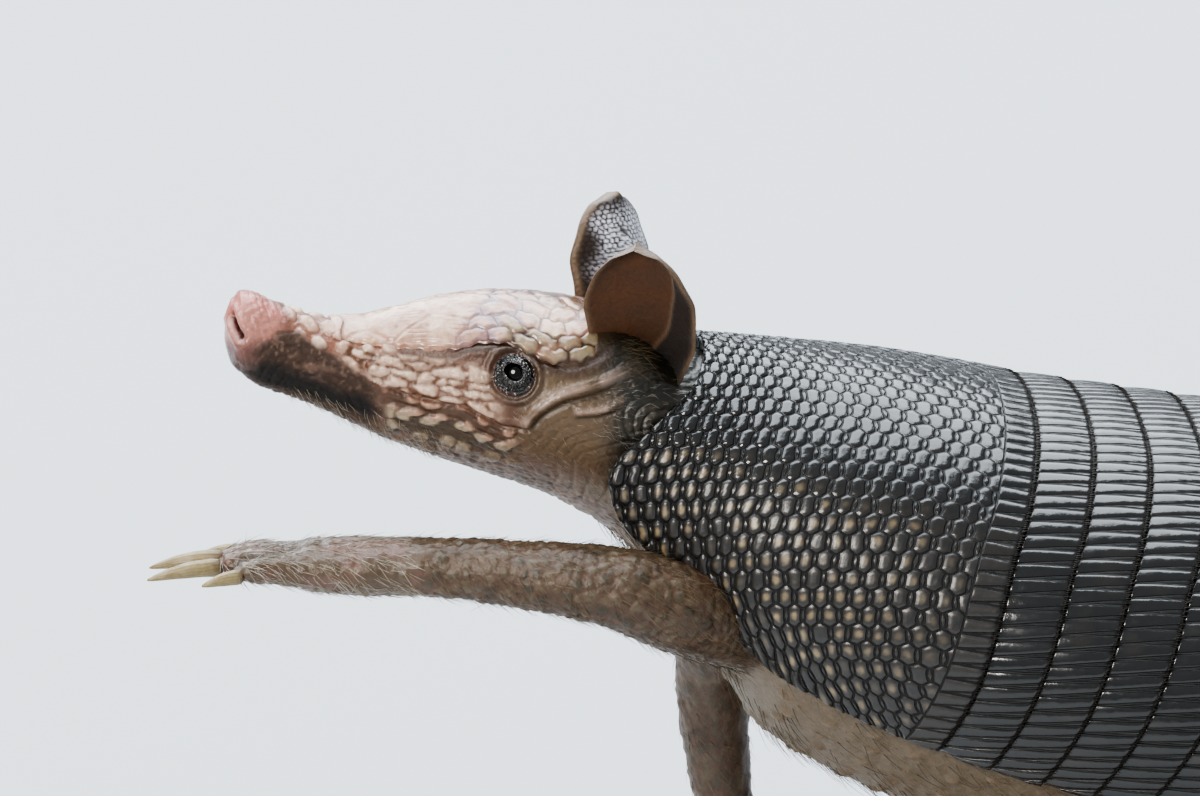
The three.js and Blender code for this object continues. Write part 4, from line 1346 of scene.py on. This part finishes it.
def bridge_plate(s, bridge):
    """A few large smooth scutes with faint seams, warm veins and fine scratches."""
    _, rim, _ = scutes(s.x + 3 + 1.5 * cloud(s.p, 8, 134), s.arc + 8, 15, 13, 0.5, 135)
    uneven = 0.14 * smooth(0, 0.8, rim) + 0.16 * cloud(s.p, 5, 136)
    s.raised(uneven + 0.12 * cloud(s.p, 1.8, 137), bridge)
    seam = 0.55 * bridge * (1 - smooth(0.05, 0.3, rim))
    s.tone(CREAM_SEAM, seam * smooth(-0.1, 0.6, cloud(s.p, 5, 145)))
    veined = 0.3 * (1 - smooth(0, 0.5, rim)) + 0.45 * smooth(0, 0.8, cloud(s.p * (0.5, 1, 1), 3, 138))
    s.tone(PLATE_WARM, bridge * np.clip(veined, 0, 1))
    s.tone(PLATE_AMBER, 0.5 * bridge * smooth(0.1, 0.7, cloud(s.p, 6, 142)))
    fine = wrinkled(s.arc + 0.3 * s.x, 1.2, s.p, 151) * smooth(-0.1, 0.5, cloud(s.p, 4, 153))
    s.raised(-0.09 * fine, bridge)
    s.tone(CREAM_SEAM, 0.45 * bridge * fine)


def head_shield():
    """A smooth plate on the bridge of the snout, and seamed polygons over the forehead."""
    rows, columns = 210, 290
    x = np.linspace(*HEAD_SHIELD_X, columns)[None, :]
    wavy = 1 + 0.012 * np.sin(x * 0.9) + 0.012 * np.sin(x * 1.9 + 1)
    angle = np.linspace(-1, 1, rows)[:, None] * BROW_ANGLE(x) * wavy
    sheet = Sheet(HEAD, x, angle, 0.55)
    s = sheet.surface(PLATE_CREAM, 0.24)
    x, edge, side = s.x, s.edge, np.abs(s.arc)
    crown = smooth(-61, -55, x + 0.5 * side - 3)
    low, line = crown_scutes(s, crown)
    bridge_plate(s, 1 - crown)
    warm = 0.4 * smooth(-0.1, 0.7, cloud(s.p, 1.6, 146)) + 0.55 * smooth(0, 0.7, cloud(s.p, 5, 147))
    s.tone(PLATE_WARM, warm)
    s.tone(LOW_SCUTE, 0.55 * low * (1 - line))
    from_seam = x + 88.4 + 0.4 * np.sin(s.arc * 0.7)
    s.raised(-0.5 * hump(from_seam, 0.32))
    s.tone(CREAM_SEAM, 0.85 * hump(from_seam, 0.5))
    blush = 0.28 * smooth(0.1, 0.8, cloud(s.p, 3.2, 139))
    blush = blush + 0.6 * smooth(0.55, 0.8, cloud(s.p, 2.0, 143))
    s.tone(PLATE_RED, hump(x + 60, 11) * smooth(16, 6, side) * blush)
    worn = smooth(-52, -34, x) * (1 - smooth(2, 8, side))
    s.tone(PLATE_BROWN_AND_SHADOW, 0.85 * worn * smooth(-0.5, 0.2, cloud(s.p, 2.2, 140)))
    ends = np.minimum(np.minimum(x - HEAD_SHIELD_X[0], HEAD_SHIELD_X[1] - x), edge)
    s.raised(-0.45 * (1 - smooth(0, 1.2, ends)))
    s.tone(BROW_BROWN_AND_PAINTED_SHADE * 1.4, 0.75 * (1 - smooth(0, 0.9, edge)) * smooth(-62, -54, x))
    s.tone(CREAM_SEAM, 0.5 * (1 - smooth(0, 0.7, edge)) * (1 - smooth(-62, -54, x)))
    s.raised(0.04 * cloud(s.p, 0.8, 144))
    mesh = sheet.mesh("head_shield_plate", s, 1.1, turned=2)
    piece("head_shield_plate", mesh, HEAD_PLATE_LOOK, "head_plate", "head_shield")


# ---------------------------------------------------------------- tail
TAIL_RINGS, TAIL_SCUTE = 9, 5.2
TAIL_TIP = 0.58  # the share of the tail's length where its rings end and its scaly tip begins
TAIL_START, TAIL_END = TAIL_ROWS[0][0], TAIL_ROWS[-1][0]


def tail_place(share):
    """The x of a share of the tail's length."""
    x = np.linspace(TAIL_START, TAIL_END, 400)
    side, height, _, _ = TAIL(x)
    steps = np.sqrt(np.diff(x) ** 2 + np.diff(side) ** 2 + np.diff(height) ** 2)
    length = np.concatenate([[0], np.cumsum(steps)])
    return float(np.interp(share * length[-1], length, x))


def tail_mesh(name, tube, closes=False):
    """A tube of the tail with its ends turned in, or drawn to a point at its far end."""
    rows, columns = tube.x.shape
    size = tube.radius + tube.s.height.reshape(rows, columns)
    inset, depth = np.array([4, 1, 0, 0]), np.array([2.4, 1.8, 1.2, 0.5])
    index = np.concatenate([inset, np.arange(columns)])
    less = np.concatenate([depth, np.zeros(columns)])
    if closes:
        size = size * np.sqrt(np.clip((TAIL_END + 0.01 - tube.x) / 3, 0.0005, 1))
    else:
        index, less = np.append(index, columns - 1 - inset[::-1]), np.append(less, depth[::-1])
    points = tube.centre[:, index] + tube.out[:, index] * (size[:, index] - less)[..., None]
    pick = np.arange(rows)[:, None] * columns + index[None, :]
    around, outward = (v.transpose(1, 0, 2) for v in (points, tube.out[:, index]))
    return grid_mesh(name, around, tube.s, pick.T.reshape(-1), outward, closed=True)


class Tube:
    """A stretch of the tail as a grid of points, with the way out of it at each and its surface."""

    def __init__(self, start, end, rows, columns):
        turn = np.linspace(0, 2 * math.pi, rows, endpoint=False)
        self.x, self.turn = x, turn = np.meshgrid(np.linspace(start, end, columns), turn)
        side, height, half, tall = TAIL(x)
        before, after = TAIL(x - 0.5), TAIL(x + 0.5)
        ahead = unit(np.stack([np.ones_like(x), after[0] - before[0], after[1] - before[1]], -1))
        across = unit(np.array([0.0, 1.0, 0.0]) - ahead * ahead[..., 1:2])
        self.out = across * np.sin(turn)[..., None] + np.cross(ahead, across) * np.cos(turn)[..., None]
        self.centre, self.radius = np.stack([x, side, height], -1), (half + tall) / 2
        points = self.centre + self.out * self.radius[..., None]
        self.s = Surface(points.reshape(-1, 3), SHELL_BLACK, 0.28)


def tail_ring(i):
    """A ring has two rows of small scutes, and a row of long ones that end at its rear edge."""
    start, end = (tail_place(TAIL_TIP * n / TAIL_RINGS) for n in (i, i + 1))
    tube = Tube(start + GAP, end - GAP, 132, 44)
    s, turn = tube.s, tube.turn
    count = round(2 * math.pi * tube.radius.mean() / TAIL_SCUTE)
    v = (turn / (2 * math.pi) * count).reshape(-1)
    behind = (end - GAP - tube.x).reshape(-1)
    length = end - start
    borders = [0, 0.52 * length, 0.78 * length, length]  # of the ring's three rows, from its rear
    row = np.where(behind < borders[1], 0, np.where(behind < borders[2], 1, 2))
    row_end, row_start = np.choose(row, borders[:3]), np.choose(row, borders[1:])
    f = v + 0.5 * (row % 2)
    f = f - np.floor(f) - 0.5
    ends = np.minimum(behind - row_end + (row == 0), row_start - behind)
    rim = np.minimum((0.5 - np.abs(f)) * TAIL_SCUTE, ends)
    s.raised(0.75 * smooth(0, 0.9, rim) + 0.35 * hump(f, 0.16) * smooth(0, 2, ends))
    s.tone(SHELL_BLACK * 0.35, 0.8 * (1 - smooth(0.1, 0.5, rim)))
    s.tone(SHELL_BROWN, 0.7 * smooth(-0.2, 0.6, cloud(s.p, 4, 151)))
    flank = smooth(0.3, 1, np.sin(turn).reshape(-1) ** 2)
    s.tone(SHELL_SPOT * 0.8, 0.35 * hump(f, 0.2) * smooth(0.3, 0.9, rim) * flank)
    s.raised(0.7 * smooth(length, 0, behind) - 0.9)
    s.raised(-0.6 * (1 - smooth(0, 0.9, behind)) + 0.05 * cloud(s.p, 1.4, 152))
    name = f"tail_ring_{i + 1}"
    piece(f"{name}_scutes", tail_mesh(f"{name}_scutes", tube), TAIL_LOOK, "carapace", name)


def tail_core():
    """The dark skin inside the rings, which shows in the gaps between them."""
    tube = Tube(TAIL_START - 8, tail_place(TAIL_TIP) + 3, 40, 60)
    tube.s.raised(-1.5 + 0.1 * cloud(tube.s.p, 2, 155))
    tube.s.tone(SHELL_BROWN, 0.6)
    piece("tail_core", tail_mesh("tail_core", tube), TAIL_LOOK, "skin")


def tail_tip():
    """The tail's end, with twelve rows of small scutes round it."""
    tube = Tube(tail_place(TAIL_TIP) + GAP, TAIL_END, 84, 180)
    s, x = tube.s, tube.x.reshape(-1)
    around = (tube.turn / (2 * math.pi) * 12 * 3.4).reshape(-1)
    d, rim, own = scutes(x, around, 5.0, 3.4, 0.12, 153)
    domed = 0.35 * smooth(0, 0.7, rim) + 0.2 * (1 - smooth(0, 0.45, d)) - 0.4
    s.raised(domed * smooth(TAIL_END, 560, x))
    s.tone(SHELL_BROWN, 0.4 + 0.4 * own)
    s.tone(SHELL_BLACK * 0.35, 0.7 * (1 - smooth(0.05, 0.35, rim)))
    s.tone(SHELL_SPOT * 0.9, 0.4 * smooth(520, TAIL_END, x))
    s.raised(0.03 * cloud(s.p, 1.2, 154))
    mesh = tail_mesh("tail_tip_scutes", tube, closes=True)
    piece("tail_tip_scutes", mesh, TAIL_LOOK, "carapace", "tail_tip")


# ---------------------------------------------------------------- ears
EAR_OUTLINE = curve([0, 0.12, 0.35, 0.6, 0.8, 0.93, 1], [0.5, 0.68, 0.95, 1, 0.8, 0.48, 0.12])
EAR_LONG, EAR_WIDE, EAR_CUP = 38.4, 13.6, 8
# Each ear's side, its root, and the directions of its tip and its back.
EAR_STANDS = {
    "ear_left": (-1, (-14.5, -14, -9), (-0.32, -0.3, 1), (0.36, 0.93, 0.1)),
    "ear_right": (1, (-17.8, 14, -9), (-0.26, 0.3, 1), (0.62, -0.75, 0.1)),
}
# The last of these colours, near white, is a painted wet sheen on the ear's back.
EAR_BROWN, EAR_RED, EAR_SHEEN_WHITE = srgb("3e3128"), srgb("5a3920"), srgb("f0f0f8")
# The second of these darks also paints shadow on the ear's rolled margin.
EAR_RIM, EAR_DARK_AND_SHADOW = srgb("75604b"), srgb("201b17")


def ear(name):
    """A leaf-shaped cup that opens forward and outward, with a beaded rim."""
    side, root, up, back = EAR_STANDS[name]
    up = unit(np.array(up))
    back = unit(np.array(back) - up * (np.array(back) @ up))
    across = np.cross(up, back) * side
    rows, columns = 120, 110
    turn = np.linspace(0, 2 * math.pi, rows, endpoint=False)[:, None]
    v = (np.linspace(0, 1, columns) ** 0.92)[None, :]
    u = np.sign(np.cos(turn)) * np.abs(np.cos(turn)) ** 0.85
    face = np.sign(np.sin(turn)) * np.abs(np.sin(turn)) ** 0.4
    u, v, face = (a.reshape(-1) for a in np.broadcast_arrays(u, v, face))
    close = np.sqrt(np.clip((1 - v) / 0.05, 0.0004, 1))
    half = EAR_WIDE * EAR_OUTLINE(v) * close
    rim = np.minimum((1 - np.abs(u)) * half, (1 - v) * EAR_LONG)
    thick = (0.55 + 0.35 * hump(rim - 0.7, 0.9)) * close
    cup = EAR_CUP * (1 - u * u) * (1 - 0.55 * v) + 3.5 * v * v
    flat = np.stack([half * u, EAR_LONG * v, cup], 1)
    s = Surface(flat * (1, 1, side), EAR_BROWN, 0.5)
    inner = smooth(0.2, -0.2, face)
    outer = 1 - inner
    wave = 0.3 * np.sin(flat[:, 1] * 0.55 + 2 * u) * smooth(0.5, 1, np.abs(u)) * smooth(0.15, 0.4, v)
    _, seam, _ = scutes(flat[:, 0] + 40, flat[:, 1], 1.35, 1.15, 0.6, 161 + side)
    bead = smooth(0, 0.3, seam)
    s.raised(0.15 * bead * smooth(0.4, 1.2, rim) * outer)
    s.raised(0.14 * hump(np.sin(flat[:, 1] * 2.4 + 2 * u), 0.75) * hump(rim - 0.5, 0.6))
    past = u - curve([0.08, 0.2, 0.4, 0.6, 0.85, 1], [-0.5, 0.05, 0.42, 0.55, 0.85, 1.2])(v)
    rolled = inner * smooth(-0.02, 0.05, past)
    s.tone(EAR_RED, inner * (0.75 + 0.25 * cloud(s.p, 5, 164)) * smooth(0.02, 0.25, v))
    # The dark on the rolled rear margin is a painted shadow.
    s.tone(EAR_DARK_AND_SHADOW, 0.85 * rolled)
    s.tone(EAR_RIM, 0.7 * inner * hump(past, 0.035))
    s.raised(1.3 * rolled * (1 - smooth(0.1, 0.55, past)))
    # The near-white on the bead tops of the ear's back is a painted wet sheen.
    pale = outer * smooth(-0.3, 0.5, 0.7 - np.abs(u) + 0.4 * cloud(s.p, 6, 162))
    pale *= smooth(0.25, 0.5, v) * smooth(0.98, 0.8, v)
    s.tone(EAR_SHEEN_WHITE, 0.95 * pale * bead)
    s.tone(EAR_DARK_AND_SHADOW, 0.6 * (1 - smooth(0.05, 0.25, seam)) * outer)
    s.tone(EAR_RIM, 0.75 * hump(rim - 0.4, 0.8))
    s.tone(EAR_DARK_AND_SHADOW, 0.8 * (1 - smooth(0.0, 0.2, v)))
    s.wet(0.2, 0.8 * outer)
    s.wet(0.6, inner)
    s.raised(0.05 * cloud(s.p, 0.9, 163))
    offset = face * (thick + s.height)
    sway = back[None, :] * (cup + offset + wave)[:, None]
    points = np.array(root) + up * (EAR_LONG * v)[:, None] + across * (half * u)[:, None] + sway
    points = points.reshape(rows, columns, 3).transpose(1, 0, 2)
    pick = np.arange(rows * columns).reshape(rows, columns).T.reshape(-1)
    mesh = grid_mesh(f"{name}_leather", points, s, pick, back * face[pick, None], closed=True)
    piece(f"{name}_leather", mesh, EAR_LOOK, "ear", name)


# ---------------------------------------------------------------- claws
CLAW_PALE, CLAW_WARM, CLAW_ROOT = srgb("938767"), srgb("7d6a46"), srgb("54443a")


def claw(name):
    """A claw in its node's shape, rounded, with fine lengthwise ridges and a darker root."""
    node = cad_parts[name]
    work = welded(node.data)
    rough = bpy.data.meshes.new("claw")
    work.to_mesh(rough)
    work.free()
    mesh = modified(rough, "SUBSURF", levels=3, render_levels=3)
    p = to_body(np.array([node.matrix_world @ Vector(v) for v in points_of(mesh)]))
    centre, axis, along = long_axis(p)
    wide = np.linalg.norm(p - centre - along[:, None] * axis, axis=1)
    if wide[along > np.percentile(along, 80)].mean() > wide[along < np.percentile(along, 20)].mean():
        along = -along
        axis = -axis
    share = (along - along.min()) / np.ptp(along)
    keys = np.linspace(0, 1, 6)
    near = [np.abs(share - key) < 0.16 for key in keys]
    middle = np.stack([curve(keys, [p[n, i].mean() for n in near])(share) for i in range(3)], 1)
    out = p - middle
    p = middle + out * 0.97
    turn = np.arctan2(out @ np.cross(axis, (0, 1, 0)), out[:, 1])
    ridge = np.sin(turn * 14 + 2 * cloud(p, 3, 171))
    p += out / (np.linalg.norm(out, axis=1)[:, None] + 0.3) * (0.05 * ridge)[:, None]
    warm = np.clip(0.35 + 0.25 * ridge + 0.3 * cloud(p, 2.5, 172), 0, 1)
    colour = mix(mix(CLAW_PALE, CLAW_WARM, warm), CLAW_ROOT, 0.75 * smooth(0.28, 0.0, share))
    put_points(mesh, to_part(p))
    shade_smooth(mesh)
    paint(mesh, colour, 0.3)
    piece(f"{name}_horn", mesh, CLAW_LOOK, "claw", name)


# ---------------------------------------------------------------- hairs
HAIR_PALE, HAIR_TAN, HAIR_DARK = srgb("d8d4c8"), srgb("a08c68"), srgb("3a3226")
REAR = np.array([1.0, 0, 0])


def unwrapped(p):
    """Places of body points on a sheet rolled round the body's length."""
    turn = np.arctan2(p[:, 1], p[:, 2] + 40) / (2 * math.pi)
    return np.stack([0.5 + 0.98 * turn, 0.01 + 0.98 * np.clip((p[:, 0] + 125) / 760, 0, 1)], 1)


def hairs(name, roots, normals, lie, length, width, lift, colours, chances):
    """Thin three-sided hairs that taper and bend back over the skin."""
    count, steps = len(roots), np.array([-0.08, 0.35, 0.75, 1.0])
    lie = np.broadcast_to(lie, roots.shape) + 0.25 * chances.standard_normal(roots.shape)
    along = unit(lie - normals * np.sum(lie * normals, axis=1)[:, None])
    across = np.cross(along, normals)
    length = length * chances.uniform(0.65, 1.15, count)
    lift = lift * chances.uniform(0.6, 1.4, count)
    forward = np.sqrt(np.maximum(1 - lift**2, 0.1))[:, None]
    rings = []
    for t in steps:
        rise = lift * t * (1 - 0.45 * t * (t > 0))
        middle = roots + length[:, None] * (t * along * forward + rise[:, None] * normals)
        radius = width / 2 * max(1 - t, 0.08) ** 0.6
        for turn in (0.5, 2.6, 4.7):
            rings.append(middle + radius * (math.cos(turn) * across + math.sin(turn) * normals))
    points = np.stack(rings, 1)
    quads = grid_faces(len(steps), 3, closed=True)
    faces = (quads[None] + 3 * len(steps) * np.arange(count)[:, None, None]).reshape(-1, 4)
    within = np.stack([quads % 3 / 3, quads // 3 / (len(steps) - 1)], -1) * 0.003
    uv = unwrapped(roots)[:, None, None, :] + within[None]
    mesh = mesh_from(name, points.reshape(-1, 3), faces, uv)
    share = np.clip(steps, 0, 1)[None, :, None]
    own = mix(colours[0], colours[1], chances.uniform(0, 1, count))[:, None, :]
    tint = own * (0.55 + 0.45 * share)
    paint(mesh, np.repeat(tint, 3, axis=1).reshape(-1, 3), 0.35)
    piece(name, mesh, HAIR_LOOK, "skin")


def skin_hairs(p, normals):
    """Whiskers under the chin, fine hairs on cheeks and nape, coarse ones on belly, legs and feet."""
    chances = np.random.default_rng(7)
    x = p[:, 0]
    angle, _, outside = out_of_flesh(p)
    body, limb = outside < 1, outside > 2
    foot = np.max([inside_box(p, name, 4) for name in FEET], axis=0) > 0.5
    low = np.degrees(angle)
    chin = body & (low > 118) & (x > -99) & (x < -62)
    cheek = body & (low > 80) & (low < 130) & (x > -56) & (x < -20)
    nape = body & (low < 95) & (x > -27) & (x < 3)
    belly = body & (low > 116) & (x > -20) & (x < 285)
    pale, tan, dark = (HAIR_PALE, HAIR_TAN), (HAIR_TAN, HAIR_PALE), (HAIR_TAN, HAIR_DARK)
    # Where they grow, how many, the way they lie, their length, width and lift, and their colours.
    groups = {
        "chin_whiskers": (chin, 420, (0.5, 0, -0.6), 3.4, 0.14, 0.55, pale),
        "cheek_hairs": (cheek, 260, (0.9, 0, -0.5), 2, 0.08, 0.25, tan),
        "nape_hairs": (nape, 700, REAR, 2, 0.08, 0.4, tan),
        "belly_hairs": (belly, 2600, (0.8, 0, -0.35), 9, 0.17, 0.35, dark),
        "leg_hairs": (limb & ~foot, 2600, (0.7, 0, -0.5), 5, 0.12, 0.25, dark),
        "foot_hairs": (limb & foot, 4500, (0.8, 0, -0.5), 4.5, 0.17, 0.16, pale),
    }
    for name, (where, count, lie, length, width, lift, colours) in groups.items():
        found = np.flatnonzero(where)
        chosen = chances.choice(found, min(count, len(found)), replace=False)
        hairs(name, p[chosen], normals[chosen], lie, length, width, lift, colours, chances)


def rim_bristles():
    """A close fringe of short dark bristles under the rear edges of the shoulder shield and bands."""
    chances = np.random.default_rng(11)
    for i in range(BANDS + 1):
        angle = np.linspace(-EDGE_ANGLE + 2, EDGE_ANGLE - 2, 430)
        rear = band_edge(i)(np.abs(angle)) - GAP
        roots = section(SHELL, rear - 0.5, np.radians(angle), -0.1)
        outward = unit(roots * (0, 1, 1) - (0, 0, 1) * np.array(SHELL(rear)[3])[:, None])
        colours = HAIR_DARK * 0.5, HAIR_DARK
        hairs(f"bristles_{i}", roots, outward, REAR, 1.5, 0.34, 0.12, colours, chances)


# ---------------------------------------------------------------- stand
def plain_material(name, colour, rough, metal=0.0, grain=0.0):
    made = Nodes(name)
    shown = (*colour, 1)
    if grain:
        place = made.add("TexCoord", {})["Object"]
        stretched = made.add("Mapping", {"Vector": place, "Scale": (3, 60, 60)})["Vector"]
        noise = made.add("TexNoise", {"Vector": stretched, "Scale": 2.5, "Detail": 6})["Fac"]
        darker = (*(v * (1 - grain) for v in colour), 1)
        shown = made.add("Mix", {"A": shown, "B": darker, "Factor": noise}, data_type="RGBA")["Result"]
    made.fill(made.shader, {"Base Color": shown, "Roughness": rough, "Metallic": metal})
    return made.material


def stand():
    """The base and the rods in their nodes' shapes, the base with softened edges."""
    wood = plain_material("base_wood", srgb("6b5240"), 0.4, grain=0.55)
    steel = plain_material("rod_steel", (0.55, 0.56, 0.57), 0.3, metal=1.0)
    for name, material, slot, softened in (
        ("stand_base", wood, "base_wood", 1.2),
        ("stand_rod_front", steel, "rod_steel", 0),
        ("stand_rod_rear", steel, "rod_steel", 0),
    ):
        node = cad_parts[name]
        mesh = node.data.copy()
        mesh.transform(node.matrix_world)
        work = welded(mesh)
        if softened:
            edges = [e for e in work.edges if len(e.link_faces) == 2 and e.calc_face_angle() > 0.5]
            round_over = {"offset": softened * MM, "segments": 3, "profile": 0.5, "affect": "EDGES"}
            bmesh.ops.bevel(work, geom=edges, **round_over)
        work.to_mesh(mesh)
        work.free()
        made = piece(f"{name}_shown", mesh, material, slot, name)
        made.data.set_sharp_from_angle(angle=math.radians(30))


skin()
eyes()
eyelids()
head_shield()
shoulder_shield()
for number in range(BANDS):
    band(number)
rim_bristles()
pelvic_shield()
for number in range(TAIL_RINGS):
    tail_ring(number)
tail_core()
tail_tip()
for ear_name in EAR_STANDS:
    ear(ear_name)
for toe_claw in CLAWS:
    claw(toe_claw)
stand()
